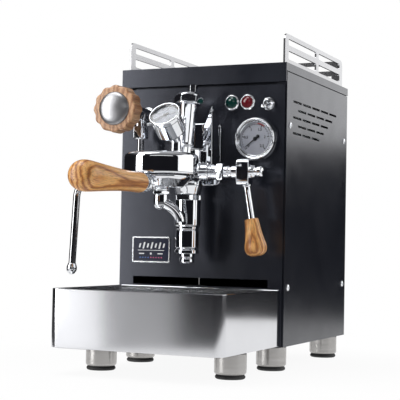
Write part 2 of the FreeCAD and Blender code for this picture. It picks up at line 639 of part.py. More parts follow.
def make_cheek(body, sign):
    """Pointed rib from the panel to the front of the neck, highest at its front edge."""
    front = [("cheek_in", "262"), ("cheek_in + 1", "314"), ("cheek_in + 8.8", "333"),
             ("cheek_out - 1.3", "343"), ("cheek_out", "262")]
    rear = [("cheek_in", "262"), ("cheek_in + 1", "300"), ("cheek_in + 7.3", "312"),
            ("cheek_out - 1.9", "319"), ("cheek_out + 0.5", "262")]
    outlines = []
    for shift, corners in (("size.cheek_depth", front), ("0.5", rear)):
        placed = [("%s(size.%s)" % (sign, across), up) for across, up in corners]
        outlines.append(draw(new_sketch(body, "XZ_Plane", shift), placed))
    cheek = body.newObject("PartDesign::AdditiveLoft", "Cheek")
    cheek.Profile = outlines[0]
    cheek.Sections = [outlines[1]]
    cheek.Ruled = True
    cheek.Refine = False


def make_group_cap():
    """Hexagonal cap nut and small plug that close the leaning upper chamber."""
    lean = math.radians(mm("size.chamber_lean"))
    toward = (0, math.sin(lean), math.cos(lean))
    body = new_body("group_cap_nut")
    hexagon(body, "Additive", "size.cap_r", "10.5", ("0", "0", "0"))
    cone(body, "Additive", "15.6", "8.5", "5.5", ("0", "0", "10.5"))
    hexagon(body, "Additive", "6.6", "26", ("size.plug_x", "0", "0"))
    seat(body, ("0", "size.chamber_y + %.7f * size.chamber_long" % toward[1],
                "size.chamber_low + %.7f * size.chamber_long" % toward[2]), toward)
    turn = Rotation(Vector(0, 0, 1), Vector(*toward)).multiply(Rotation(Vector(0, 0, 1), mm("size.cap_turn")))
    body.Placement = Placement(body.Placement.Base, turn)


def make_group_seals():
    """Rubber gasket and the pierced screen that spreads the brew water, both up inside the bell."""
    turned("group_gasket", [("28.8", "size.seal_low + 0.3"), ("36", "size.seal_low + 0.3"),
                            ("36", "size.seal_top - 0.1"), ("28.8", "size.seal_top - 0.1")],
           ("0", "size.bell_y", "0"))
    turned("shower_screen", [("0", "size.seal_low - 1.4"), ("28.2", "size.seal_low - 1.4"),
                             ("28.2", "size.seal_top - 0.1"), ("27.2", "size.seal_top - 0.1"),
                             ("27.2", "size.seal_low - 0.4"), ("0", "size.seal_low - 0.4")],
           ("0", "size.bell_y", "0"))


def make_infusion_chamber():
    """Lower chamber hanging under the column: hexagonal collar, stepped barrel, and drain fitting."""
    body = new_body("infusion_chamber")
    hexagon(body, "Additive", "18.4", "size.collar_high - size.collar_low",
            ("0", "size.column_y", "size.collar_low"))
    rod(body, "Additive", "size.infuse_r", "size.collar_low - size.infuse_low",
        ("0", "size.column_y", "size.infuse_low"))
    rod(body, "Additive", "size.sleeve_r", "size.infuse_low - size.sleeve_low",
        ("0", "size.column_y", "size.sleeve_low"))
    turned("drain_fitting", [("0", "size.drain_low"), ("8.6", "size.drain_low"), ("10", "size.drain_low + 2"),
                             ("10", "size.sleeve_low - 6"), ("15.6", "size.sleeve_low - 6"),
                             ("15.6", "size.sleeve_low - 1.4"), ("14", "size.sleeve_low"),
                             ("0", "size.sleeve_low")],
           ("0", "size.column_y", "0"))


# ---------------------------------------------------------------- brew lever

def on_lever(distance):
    """Base on the lever's leaning rod, at a distance from the hub's centre."""
    lean = math.radians(mm("size.lever_lean"))
    return ("size.lever_hub_x + size.lever_hub_wide / 2 + %.4f * (%s)" % (math.sin(lean), distance),
            "size.column_y", "size.cam_z - %.4f * (%s)" % (math.cos(lean), distance))


def make_lever():
    """Brew lever: the cam shaft with its gland, the hub and end nut, the rod and the wooden grip."""
    gland = new_body("cam_gland")
    rod(gland, "Additive", "10", "10.7", ("31.3", "size.column_y", "size.cam_z"), RIGHT)
    hexagon(gland, "Additive", "12", "9", ("42", "size.column_y", "size.cam_z"), RIGHT)
    rod(gland, "Subtractive", "size.cam_r + size.run_fit", "24", ("28", "size.column_y", "size.cam_z"), RIGHT)
    turned("lever_shaft", [("0", "18"), ("size.cam_r", "18"), ("size.cam_r", "51.4"), ("8.3", "51.4"),
                           ("8.3", "58"), ("7", "59"), ("7", "61"), ("8.3", "62"),
                           ("8.3", "size.lever_hub_x"), ("0", "size.lever_hub_x")],
           ("0", "size.column_y", "size.cam_z"), RIGHT)
    hub = new_body("lever_hub")
    box(hub, "Additive", ("size.lever_hub_x", "size.lever_hub_x + size.lever_hub_wide"),
        ("size.column_y - 9", "size.column_y + 9"), ("size.cam_z - 17.5", "size.cam_z + 16.5"))
    round_edges(hub, "3.5", lambda edge: runs_along(edge, "x"))
    turned("lever_end_nut", [("0", "0"), ("8.6", "0"), ("8.6", "3.4"), ("5.4", "6.6"), ("5.4", "9.6"),
                             ("6.8", "10.4"), ("6.8", "14.6"), ("5.2", "16.6"), ("0", "17.6")],
           ("size.lever_hub_x + size.lever_hub_wide", "size.column_y", "size.cam_z"), RIGHT)
    lean = math.radians(mm("size.lever_lean"))
    along = (math.sin(lean), 0, -math.cos(lean))
    stick = new_body("lever_rod")
    rod(stick, "Additive", "size.lever_rod_r", "size.grip_start - 1", on_lever("10"), along)
    grip = new_body("lever_grip")
    grip_body = "size.grip_long - size.grip_r"
    cone(grip, "Additive", "8.4", "size.grip_r * 0.96", grip_body, on_lever("size.grip_start"), along)
    ball(grip, "size.grip_r", on_lever("size.grip_start + size.grip_long - size.grip_r"))


# ---------------------------------------------------------------- portafilter

def make_portafilter():
    """Filter holder with its basket, spout, ferrule and wooden handle."""
    body = new_body("portafilter_body")
    bowl = draw(new_sketch(body, "XZ_Plane", "-size.bell_y"), [
        ("0", "size.bowl_low - 4"), ("9.6", "size.bowl_low - 4"), ("9.6", "size.bowl_low - 1"),
        ("25.5", "size.bowl_low"), ("28", "size.bowl_low + 2"), ("36.4", "size.bell_low - 3.4"),
        ("36.4", "size.bell_low - 0.6"), ("size.filter_r", "size.bell_low - 0.2"),
        ("size.filter_r", "size.rim_top"),
        ("30.2", "size.rim_top"), ("30.2", "size.bowl_low + 4.5"), ("0", "size.bowl_low + 4.5")])
    spin(body, bowl)
    for side in (1, -1):
        box(body, "Additive", mirrored(side, "size.filter_r - 1", "size.filter_r + 2.5"),
            ("size.bell_y - 6", "size.bell_y + 6"), ("size.bell_low + 4.2", "size.bell_low + 8.6"))
    rod(body, "Additive", "7", "8", ("0", "size.bell_y - 32", "size.handle_z"), FORWARD)
    turned("filter_basket", [("0", "size.bowl_low + 5.2"), ("26", "size.bowl_low + 5.2"),
                             ("29.6", "size.bowl_low + 9"), ("29.6", "size.rim_top + 0.05"),
                             ("34.4", "size.rim_top + 0.05"), ("34.4", "size.rim_top + 0.55"),
                             ("29", "size.rim_top + 0.55"), ("29", "size.bowl_low + 9.4"),
                             ("25.6", "size.bowl_low + 5.8"), ("0", "size.bowl_low + 5.8")],
           ("0", "size.bell_y", "0"))
    turned("portafilter_ferrule", [("0", "0"), ("9.4", "0"), ("10.6", "3"), ("8.6", "6"), ("8.6", "9"),
                                   ("11.8", "12"), ("11.8", "size.bell_y - 40 - size.handle_start"),
                                   ("0", "size.bell_y - 40 - size.handle_start")],
           ("0", "size.bell_y - 40", "size.handle_z"), FORWARD)
    handle = new_body("portafilter_handle")
    swell = "size.handle_start - size.handle_front - size.handle_r_thick"
    cone(handle, "Additive", "size.handle_r_thin", "size.handle_r_thick", swell,
         ("0", "size.handle_start", "size.handle_z"), FORWARD)
    ball(handle, "size.handle_r_thick", ("0", "size.handle_front + size.handle_r_thick", "size.handle_z"))
    make_spout()


def make_spout():
    """Single curved spout: a nut, a round-bottomed body and a chute that turns down to its tip."""
    spout = new_body("portafilter_spout")
    top = "size.bowl_low - 4"
    rod(spout, "Additive", "11.5", "4", ("0", "size.bell_y", top + " - 4"))
    rod(spout, "Additive", "size.spout_r", top + " - 2 - size.spout_low - size.spout_r",
        ("0", "size.bell_y", "size.spout_low + size.spout_r"))
    ball(spout, "size.spout_r", ("0", "size.bell_y", "size.spout_low + size.spout_r"))
    start = Vector(0, mm("size.bell_y"), mm("size.spout_low") + 10)
    bend = Vector(mm("size.spout_tip_x") - 4, mm("size.spout_tip_y") - 1, mm("size.spout_tip_z") + 11)
    slope = bend.sub(start)
    rod(spout, "Additive", "6.6", str(round(slope.Length, 3)),
        ("0", "size.bell_y", "size.spout_low + 10"), tuple(slope))
    ball(spout, "6.6", ("size.spout_tip_x - 4", "size.spout_tip_y - 1", "size.spout_tip_z + 11"))
    cone(spout, "Additive", "5", "6.4", "11", ("size.spout_tip_x", "size.spout_tip_y", "size.spout_tip_z"),
         (-0.33, -0.08, 1))


# ---------------------------------------------------------------- steam side

def make_steam_valve():
    """Steam valve on the panel with its bonnet and wand joint, the stem, and the wooden knob and its cap."""
    valve = new_body("steam_valve_body")
    rod(valve, "Additive", "6.3", "22", ("size.steam_x", "20", "size.steam_z"), FORWARD)
    rod(valve, "Additive", "10.2", "38", ("size.steam_x", "0", "size.steam_z"), FORWARD)
    hexagon(valve, "Additive", "12", "14", ("size.steam_x", "-38", "size.steam_z"), FORWARD)
    rod(valve, "Additive", "8", "size.steam_z - size.wand_nut_high",
        ("size.wand_x", "size.wand_y", "size.wand_nut_high"))
    hexagon(valve, "Additive", "size.wand_nut_r", "size.wand_nut_high - size.wand_nut_low",
            ("size.wand_x", "size.wand_y", "size.wand_nut_low"))
    rod(valve, "Subtractive", "size.stem_r + size.run_fit", "40", ("size.steam_x", "-16", "size.steam_z"),
        FORWARD)
    rod(valve, "Subtractive", "size.wand_r + size.run_fit", "10",
        ("size.wand_x", "size.wand_y", "size.wand_nut_low - 1"))
    turned("steam_stem", [("0", "20"), ("size.stem_r", "20"), ("size.stem_r", "58"), ("7.5", "58"),
                          ("7.5", "-size.knob_back"), ("0", "-size.knob_back")],
           ("size.steam_x", "0", "size.steam_z"), FORWARD)
    knob = new_body("steam_knob")
    thick = "size.knob_back - size.knob_front"
    rod(knob, "Additive", "size.knob_r", thick, ("0", "0", "0"))
    scallop = rod(knob, "Subtractive", "7", thick + " + 2", ("size.knob_r + 5.2", "0", "-1"))
    lobes = knob.newObject("PartDesign::PolarPattern", "Lobes")
    lobes.Originals = [scallop]
    lobes.Axis = ([item for item in knob.Origin.OriginFeatures if item.Role == "Z_Axis"][0], [""])
    lobes.Angle = 360
    lobes.Occurrences = 12
    knob.Tip = lobes
    seat(knob, ("size.steam_x", "size.knob_back", "size.steam_z"), FORWARD)
    turned("steam_knob_cap", [("0", "0"), ("size.knob_cap_r", "0"), ("size.knob_cap_r - 1.2", "2"),
                              ("size.knob_cap_r * 0.75", "4"), ("size.knob_cap_r * 0.45", "5.2"),
                              ("0", "5.8")],
           ("size.steam_x", "size.knob_front", "size.steam_z"), FORWARD)


def make_wand():
    """Steam wand: the bent tube that swings in the valve's joint nut, and the steam tip."""
    joint = Vector(mm("size.wand_x"), mm("size.wand_y"), mm("size.wand_nut_low"))
    corners = [joint + Vector(0, 0, 8.5), joint + Vector(0, 0, -40), Vector(-111.5, -130, 238),
               Vector(-117, -130, 134)]
    path = bent_path(corners, mm("size.wand_bend"))
    circle = Part.Wire(Part.makeCircle(mm("size.wand_r"), corners[0], Vector(0, 0, -1)))
    tube = doc.addObject("Part::Feature", "steam_wand")
    tube.Label = "steam_wand"
    tube.Shape = path.makePipeShell([circle], True, False)
    last = corners[-1].sub(corners[-2])
    turned("steam_tip", [("0", "0"), ("5.2", "0"), ("6.6", "4"), ("6.4", "8.5"), ("3.6", "12.4"),
                         ("0", "13.4")],
           tuple(str(value) for value in corners[-1]), tuple(last))


def bent_path(corners, radius):
    """A wire of straight runs joined by tangent arcs of one radius."""
    edges = []
    start = corners[0]
    for before, corner, after in zip(corners, corners[1:], corners[2:]):
        into = corner.sub(before).normalize()
        out = after.sub(corner).normalize()
        half_turn = into.getAngle(out) / 2
        reach = radius * math.tan(half_turn)
        entry = corner - into * reach
        leave = corner + out * reach
        middle_dir = (out - into).normalize()
        centre = corner + middle_dir * (radius / math.cos(half_turn))
        edges.append(Part.LineSegment(start, entry).toShape())
        edges.append(Part.Arc(entry, centre - middle_dir * radius, leave).toShape())
        start = leave
    edges.append(Part.LineSegment(start, corners[-1]).toShape())
    return Part.Wire(edges)


# ---------------------------------------------------------------- inside the case

def make_water_tank():
    """Open-topped water tank that lifts out through the lid."""
    tank = new_body("water_tank")
    box(tank, "Additive", both("size.tank_half"), ("size.tank_front", "size.tank_back"),
        ("size.tank_low", "size.tank_high"))
    box(tank, "Subtractive", both("size.tank_half - size.tank_wall"),
        ("size.tank_front + size.tank_wall", "size.tank_back - size.tank_wall"),
        ("size.tank_low + size.tank_wall", "size.tank_high + 1"))
    side = mm("size.tank_half") - 0.1
    round_edges(tank, "2", lambda edge: runs_along(edge, "z") and abs(edge.BoundBox.XMin) > side)


def make_boiler():
    """Copper boiler with its end flange, heating element, safety valve and pressure switch."""
    middle = ("0", "size.boiler_front", "size.boiler_z")
    long_side = "size.boiler_back - size.boiler_front"
    turned("boiler", [("0", "0"), ("size.boiler_r - 6", "0"), ("size.boiler_r", "6"),
                      ("size.boiler_r", long_side), ("size.boiler_r + 5", long_side),
                      ("size.boiler_r + 5", long_side + " + 6"), ("0", long_side + " + 6")], middle, BACKWARD)
    element = new_body("heating_element")
    rear = "size.boiler_back + 6"
    hexagon(element, "Additive", "22", "6", ("0", rear, "size.boiler_z"), BACKWARD)
    for across in ("-9", "9"):
        rod(element, "Additive", "3", "16", (across, rear, "size.boiler_z"), BACKWARD)
    valve = new_body("safety_valve")
    hexagon(valve, "Additive", "8", "10", ("0", "62", "size.boiler_z + size.boiler_r"))
    rod(valve, "Additive", "5", "24", ("0", "62", "size.boiler_z + size.boiler_r"))
    switch = new_body("pressure_switch")
    box(switch, "Additive", ("62", "98"), ("60", "100"), ("200", "236"))
    rod(switch, "Additive", "5", "8", ("80", "80", "236"))


def make_pipes():
    """Copper pipes: two from the boiler to the group, and the steam pipe to the valve."""
    members = []
    for up in ("262", "312"):
        pipe = new_body("group_pipe")
        rod(pipe, "Additive", "5", "size.boiler_front - 0.6", ("0", "0.3", up), BACKWARD)
        members.append(pipe)
    steam = new_body("steam_pipe")
    rod(steam, "Additive", "4", "40", ("size.steam_x", "20.2", "size.steam_z"), BACKWARD)
    ball(steam, "4", ("size.steam_x", "60.2", "size.steam_z"))
    rod(steam, "Additive", "4", "32", ("size.steam_x", "60.2", "size.steam_z"), RIGHT)
    members.append(steam)
    group_of("copper_pipes", members)


def make_services():
    """Vibration pump, control box and the power inlet with its three pins."""
    pump = new_body("pump")
    box(pump, "Additive", ("-86", "-42"), ("70", "120"), ("62", "104"))
    rod(pump, "Additive", "11", "40", ("-64", "120", "84"), BACKWARD)
    rod(pump, "Additive", "7", "22", ("-64", "70", "84"), FORWARD)
    for along in ("76", "108"):
        box(pump, "Additive", ("-70", "-58"), (along, along + " + 6"), ("size.floor_gap + size.sheet", "62"))
    control = new_body("control_box")
    box(control, "Additive", ("10", "96"), ("60", "150"), ("size.floor_gap + size.sheet", "86"))
    round_edges(control, "3", lambda edge: runs_along(edge, "z"))
    inlet = new_body("inlet_housing")
    span_x = ("size.inlet_x - size.inlet_wide / 2", "size.inlet_x + size.inlet_wide / 2")
    span_z = ("size.inlet_z - size.inlet_tall / 2", "size.inlet_z + size.inlet_tall / 2")
    box(inlet, "Additive", span_x, ("size.body_depth - 22", "size.body_depth + 1.2"), span_z)
    box(inlet, "Subtractive", (span_x[0] + " + 2", span_x[1] + " - 2"),
        ("size.body_depth - 16", "size.body_depth + 3"), (span_z[0] + " + 3", span_z[1] + " - 3"))
    pins = []
    for across, up in (("-7", "-2"), ("7", "-2"), ("0", "2")):
        pin = block("pin", ("size.inlet_x + %s - 2" % across, "size.inlet_x + %s + 2" % across),
                    ("size.body_depth - 16", "size.body_depth - 2"),
                    ("size.inlet_z + %s - 1" % up, "size.inlet_z + %s + 1" % up))
        pins.append(pin)
    group_of("power_inlet", [inlet] + pins)


# ---------------------------------------------------------------- checking and writing

NODES = [
    "chassis_base", "front_panel", "side_panel_left", "side_panel_right", "rear_panel", "lid", "cup_tray",
    "cup_rail_left", "cup_rail_right", "cup_rail_rear", "feet", "foot_pads", "side_screws", "nameplate",
    "drip_tray", "drip_grid", "lamp_bezels", "lamp_lens_green", "lamp_lens_red", "switch_body",
    "switch_lever", "boiler_gauge_case", "group_gauge_case", "gauge_dials", "gauge_glasses",
    "boiler_needle", "group_needle", "gauge_adapter", "group_body", "group_cap_nut", "group_gasket",
    "shower_screen", "infusion_chamber", "drain_fitting", "cam_gland", "lever_shaft",
    "lever_hub", "lever_end_nut", "lever_rod", "lever_grip", "portafilter_body", "filter_basket",
    "portafilter_ferrule", "portafilter_handle", "portafilter_spout", "steam_valve_body", "steam_stem",
    "steam_knob", "steam_knob_cap", "steam_wand", "steam_tip", "water_tank", "boiler",
    "heating_element", "safety_valve", "pressure_switch", "copper_pipes", "pump", "control_box",
    "power_inlet",
]


def build():
    """Builds every sub-part."""
    make_chassis_base()
    make_front_panel()
    make_side_panel("side_panel_right", 1)
    make_side_panel("side_panel_left", -1)
    make_rear_panel()
    make_lid()
    make_cup_tray()
    make_side_rail("cup_rail_right", 1)
    make_side_rail("cup_rail_left", -1)
    make_rear_rail()
    make_feet()
    make_side_screws()
    make_nameplate()
    make_drip_tray()
    make_drip_grid()
    make_lamps()
    make_switch()
    make_gauge_cases()
    make_gauge_faces()
    make_needle("boiler_needle", "size.dial_r", "0.7", ("size.dial_x", "-4.6", "size.dial_z"), FORWARD, "2.2")
    make_needle("group_needle", "size.small_dial_r", "0.6", on_small_gauge("0.2"), GAUGE_TILT, "1.8")
    make_gauge_adapter()
    make_group_body()
    make_group_cap()
    make_group_seals()
    make_infusion_chamber()
    make_lever()
    make_portafilter()
    make_steam_valve()
    make_wand()
    make_water_tank()
    make_boiler()
    make_pipes()
    make_services()
    doc.recompute()


def check_document():
    """Stops if any object failed to recompute or any sub-part is null or invalid."""
    for item in doc.Objects:
        if "Invalid" in item.State or "Error" in item.State:
            owners = [owner.Label for owner in item.InList]
            raise RuntimeError("failed: %s in %s" % (item.Label, owners))
    for label in NODES:
        shape = node(label).Shape
        if shape.isNull() or not shape.isValid() or shape.Volume <= 0:
            raise RuntimeError("bad shape: " + label)


def node(label):
    """The document object that makes one sub-part."""
    return doc.getObjectsByLabel(label)[0]


def write_parts():
    """Writes each sub-part to its own STEP file."""
    os.makedirs("parts", exist_ok=True)
    for label in NODES:
        node(label).Shape.exportStep("parts/%s.step" % label)


fill_sheet()
build()
check_document()
write_parts()
print("wrote", len(NODES), "parts")
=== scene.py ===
import json
from math import cos, hypot, pi, radians, sin, tan, tau

import bmesh
import bpy
from mathutils import Matrix, Vector


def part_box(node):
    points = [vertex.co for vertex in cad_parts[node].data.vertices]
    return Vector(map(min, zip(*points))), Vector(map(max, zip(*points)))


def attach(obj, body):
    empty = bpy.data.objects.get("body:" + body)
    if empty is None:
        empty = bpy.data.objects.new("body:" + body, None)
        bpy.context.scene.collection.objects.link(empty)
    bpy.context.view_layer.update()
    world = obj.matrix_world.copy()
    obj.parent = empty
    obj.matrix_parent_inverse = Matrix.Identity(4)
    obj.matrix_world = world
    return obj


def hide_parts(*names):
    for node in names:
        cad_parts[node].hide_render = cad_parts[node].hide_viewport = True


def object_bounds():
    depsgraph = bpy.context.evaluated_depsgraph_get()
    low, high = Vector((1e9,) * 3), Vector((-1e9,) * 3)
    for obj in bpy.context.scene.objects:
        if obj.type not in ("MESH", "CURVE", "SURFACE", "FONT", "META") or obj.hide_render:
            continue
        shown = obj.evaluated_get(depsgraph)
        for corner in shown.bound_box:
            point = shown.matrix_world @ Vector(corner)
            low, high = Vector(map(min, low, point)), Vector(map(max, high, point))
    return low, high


# Lever-operated espresso machine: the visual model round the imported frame.
# Shapes are in millimetres and are scaled once, in piece().

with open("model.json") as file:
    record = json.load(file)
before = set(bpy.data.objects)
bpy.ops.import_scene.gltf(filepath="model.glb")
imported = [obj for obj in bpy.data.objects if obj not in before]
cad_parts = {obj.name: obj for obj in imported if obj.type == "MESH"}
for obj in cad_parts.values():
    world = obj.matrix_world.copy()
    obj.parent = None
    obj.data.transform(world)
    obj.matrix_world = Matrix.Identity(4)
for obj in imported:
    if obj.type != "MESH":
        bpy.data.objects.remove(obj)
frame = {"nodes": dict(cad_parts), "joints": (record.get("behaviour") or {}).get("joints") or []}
cad_low, cad_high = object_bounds()

MM = 0.001
SEGMENTS = 96
FRONT = Vector((0, -1, 0))
UP = Vector((0, 0, 1))
RIGHT = Vector((1, 0, 0))
link = bpy.context.scene.collection.objects.link
pivots = {joint["name"]: Vector(joint["pos_m"]) / MM for joint in frame["joints"] if "pos_m" in joint}


def span(node):
    """A CAD node's lowest corner, highest corner and middle, in millimetres."""
    low, high = (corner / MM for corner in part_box(node))
    return low, high, (low + high) / 2


def at(x=0, y=0, z=0, toward=UP):
    """A placement for use inside one mesh, its own +Z turned toward a direction."""
    turn = Vector(toward).normalized().to_track_quat("Z", "Y")
    return Matrix.Translation((x, y, z)) @ turn.to_matrix().to_4x4()


def facing(origin, toward=UP):
    """A piece's placement in the scene, at a point given in millimetres."""
    return at(*(Vector(origin) * MM), toward)


# ---- outlines and surfaces

def circle(radius, count=SEGMENTS, turn=0):
    """Points round a circle."""
    steps = [turn + tau * k / count for k in range(count)]
    return [(radius * cos(a), radius * sin(a)) for a in steps]


def polygon(apothem, sides=6, corner=0.9, steps=4, flats=6):
    """A regular polygon with rounded corners and divided flats."""
    inner = (apothem - corner) / cos(pi / sides)
    arcs = []
    for k in range(sides):
        middle = tau * k / sides
        turn = [middle + (s / steps - 0.5) * tau / sides for s in range(steps + 1)]
        arcs.append([(inner * cos(middle) + corner * cos(a), inner * sin(middle) + corner * sin(a))
            for a in turn])
    points = []
    for arc, following in zip(arcs, arcs[1:] + arcs[:1]):
        points += arc
        start, end = Vector(arc[-1]), Vector(following[0])
        points += [tuple(start.lerp(end, s / flats)) for s in range(1, flats)]
    return points


def lobed(radius, depth, count, points=240):
    """A wavy circle whose crests touch the radius."""
    outline = []
    for k in range(points):
        angle = tau * k / points
        reach = radius - depth * (0.5 - 0.5 * cos(count * angle)) ** 1.25
        outline.append((reach * cos(angle), reach * sin(angle)))
    return outline


def oblong(low, high, radii, steps=6):
    """A rectangle between two corners; one radius each, counter-clockwise from the low corner."""
    corners = [(low[0], low[1]), (high[0], low[1]), (high[0], high[1]), (low[0], high[1])]
    points = []
    for k, ((x, y), radius) in enumerate(zip(corners, radii)):
        centre = (x + radius * (1 if k in (0, 3) else -1), y + radius * (1 if k in (0, 1) else -1))
        for s in range(steps + 1):
            angle = pi * (1 + k / 2) + s / steps * pi / 2
            points.append((centre[0] + radius * cos(angle), centre[1] + radius * sin(angle)))
    return points


def eased(profile, radius, steps=4):
    """An open outline with its corners rounded."""
    points = [Vector(profile[0])]
    for before, here, after in zip(profile, profile[1:], profile[2:]):
        back, corner, on = Vector(before), Vector(here), Vector(after)
        reach = min(radius, (back - corner).length * 0.48, (on - corner).length * 0.48)
        start = corner + (back - corner).normalized() * reach
        end = corner + (on - corner).normalized() * reach
        for s in range(steps + 1):
            t = s / steps
            points.append(start * (1 - t) ** 2 + corner * (2 * t * (1 - t)) + end * t ** 2)
    return points + [Vector(profile[-1])]


def flowing(points, steps=8):
    """A smooth line through every point."""
    spots = [Vector(p) for p in points]
    ends = [spots[0] * 2 - spots[1]] + spots + [spots[-1] * 2 - spots[-2]]
    line = []
    for a, b, c, d in zip(ends, ends[1:], ends[2:], ends[3:]):
        for s in range(steps):
            t = s / steps
            line.append(0.5 * (2 * b + (c - a) * t + (2 * a - 5 * b + 4 * c - d) * t * t + (3 * b - a - 3 * c
                + d) * t ** 3))
    return line + [spots[-1]]


def section(outline, level, axis="z"):
    """An outline as a ring square to an axis, at a level along it."""
    return [{"x": (level, a, b), "y": (a, level, b), "z": (a, b, level)}[axis] for a, b in outline]


def skin(rings, loop=False):
    """A surface over rings of equally many points; its ends are capped unless it is a loop."""
    mesh = bmesh.new()
    rows = [[mesh.verts.new(point) for point in ring] for ring in rings]
    count = len(rows[0])
    for low, high in list(zip(rows, rows[1:])) + ([(rows[-1], rows[0])] if loop else []):
        for k in range(count):
            after = (k + 1) % count
            mesh.faces.new((low[k], low[after], high[after], high[k]))
    if not loop:
        mesh.faces.new(rows[0][::-1])
        mesh.faces.new(rows[-1])
    bmesh.ops.remove_doubles(mesh, verts=mesh.verts, dist=0.002)
    bmesh.ops.dissolve_degenerate(mesh, edges=mesh.edges, dist=0.001)
    bmesh.ops.recalc_face_normals(mesh, faces=mesh.faces)
    return mesh


def stack(outline, profile, loop=False):
    """Rings of one outline: profile holds (size given to outline, height) pairs."""
    return skin([section(outline(amount), height) for amount, height in profile], loop)


def lathe(profile, soften=0.4, count=SEGMENTS, loop=False):
    """A turned shape from (radius, height) pairs."""
    line = profile + profile[:2] if loop else profile
    line = eased(line, soften) if soften else [Vector(p) for p in line]
    if loop:
        line = line[1:-1]
    return stack(lambda radius: circle(max(radius, 0), count), line, loop)


def nut(apothem, low, high):
    """A chamfered hexagon nut between two heights."""
    rim = polygon(apothem)
    crown = apothem * 0.97
    slope = tan(radians(30))

    def ring(at_crown, end, inward):
        points = []
        for x, y in rim:
            reach = hypot(x, y)
            if at_crown:
                points.append((x / reach * crown, y / reach * crown, end))
            else:
                points.append((x, y, end + inward * (reach - crown) * slope))
        return points

    return skin([ring(True, low, 1), ring(False, low, 1), ring(False, high, -1), ring(True, high, -1)])


def sweep(line, radii, count=32):
    """A tube along points, with a radius for each; its section never twists."""
    points = [Vector(p) for p in line]
    rings = []
    side = None
    for k, point in enumerate(points):
        along = (points[min(k + 1, len(points) - 1)] - points[max(k - 1, 0)]).normalized()
        if side is None:
            side = along.orthogonal().normalized()
        side = (side - along * side.dot(along)).normalized()
        across = along.cross(side)
        rings.append([point + (side * x + across * y) for x, y in circle(radii[k], count)])
    return skin(rings)


def bent(corners, radius, steps=14):
    """Straight runs joined by tangent arcs."""
    spots = [Vector(c) for c in corners]
    line = [spots[0]]
    for before, corner, after in zip(spots, spots[1:], spots[2:]):
        into, out = (corner - before).normalized(), (after - corner).normalized()
        half = into.angle(out) / 2
        entry = corner - into * radius * tan(half)
        centre = corner + (out - into).normalized() * radius / cos(half)
        axis = into.cross(out).normalized()
        for s in range(steps + 1):
            turn = Matrix.Rotation(2 * half * s / steps, 3, axis)
            line.append(centre + turn @ (entry - centre))
    return line + [spots[-1]]


def merged(*parts):
    """Several surfaces in one mesh; each part is a mesh, or a mesh with its placement in millimetres."""
    whole = bmesh.new()
    for part in parts:
        mesh, move = part if isinstance(part, tuple) else (part, Matrix())
        bmesh.ops.transform(mesh, matrix=move, verts=mesh.verts)
        held = bpy.data.meshes.new("held")
        mesh.to_mesh(held)
        mesh.free()
        whole.from_mesh(held)
        bpy.data.meshes.remove(held)
    return whole


def piece(name, mesh, body, look, slot, place=None, stands_for=(), sharp=32, bevel=0, flat=False):
    """Makes one shown object from a mesh in millimetres, and lets it ride on a CAD body."""
    for edge in mesh.edges:
        edge.smooth = len(edge.link_faces) == 2 and edge.calc_face_angle(0) < radians(sharp)
    bmesh.ops.scale(mesh, vec=(MM, MM, MM), verts=mesh.verts)
    data = bpy.data.meshes.new(name)
    mesh.to_mesh(data)
    mesh.free()
    for face in data.polygons:
        face.use_smooth = not flat
    item = bpy.data.objects.new(name, data)
    link(item)
    item.matrix_world = place or Matrix()
    data.materials.append(look)
    dress(item, bevel)
    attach(item, body)
    if stands_for:
        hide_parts(*stands_for)
    return item


def chromed(name, mesh, body, place=None, stands_for=(), **more):
    """A chrome-plated piece."""
    return piece(name, mesh, body, CHROME, "chrome", place, stands_for, **more)


def dress(item, bevel):
    """Adds a small edge radius where asked, and even shading."""
    if bevel:
        edge = item.modifiers.new("edge", "BEVEL")
        edge.width = bevel * MM
        edge.segments = 3
        edge.limit_method = "ANGLE"
        edge.angle_limit = radians(35)
        edge.use_clamp_overlap = False
    shade = item.modifiers.new("shade", "WEIGHTED_NORMAL")
    shade.keep_sharp = True
    shade.weight = 80


# ---- finishes

def wire(tree, kind, settings=(), **inputs):
    """Adds one shader node; each input is a number, a colour or another node's output."""
    node = tree.nodes.new("ShaderNode" + kind)
    for name, value in dict(settings).items():
        setattr(node, name, value)
    for name, value in inputs.items():
        socket = node.inputs[name.replace("_", " ")]
        if isinstance(value, bpy.types.NodeSocket):
            tree.links.new(value, socket)
        else:
            socket.default_value = value
    return node


def new_finish(name, **constants):
    """An empty finish: its principled shader, with what is the same all over set on the shader itself."""
    look = bpy.data.materials.new(name)
    look.use_nodes = True
    tree = look.node_tree
    tree.nodes.clear()
    shader = wire(tree, "BsdfPrincipled")
    for key, value in constants.items():
        shader.inputs[key.replace("_", " ")].default_value = value
    wire(tree, "OutputMaterial", Surface=shader.outputs["BSDF"])
    return look, tree, shader


def grain(tree, stretch, scale, detail=3):
    """Noise in the object's own space, per metre, stretched along its axes."""
    place = wire(tree, "TexCoord")
    room = wire(tree, "Mapping", Vector=place.outputs["Object"], Scale=stretch)
    noise = wire(tree, "TexNoise", Vector=room.outputs["Vector"], Scale=scale, Detail=detail)
    return noise.outputs["Fac"]


def ramp(tree, factor, *stops):
    """Colours along a factor; each stop is (position, colour)."""
    node = wire(tree, "ValToRGB", Fac=factor)
    band = node.color_ramp
    while len(band.elements) < len(stops):
        band.elements.new(0.5)
    for element, (position, colour) in zip(band.elements, stops):
        element.position = position
        element.color = (*colour, 1)
    return node.outputs["Color"]


def spread(tree, factor, low, high, start=0.3, end=0.7):
    """A factor mapped to a range of numbers."""
    return wire(tree, "MapRange", Value=factor, From_Min=start, From_Max=end, To_Min=low,
        To_Max=high).outputs["Result"]


def bump(tree, height, strength, depth):
    """Small surface relief, with its depth in millimetres."""
    return wire(tree, "Bump", Height=height, Strength=strength, Distance=depth * MM).outputs["Normal"]


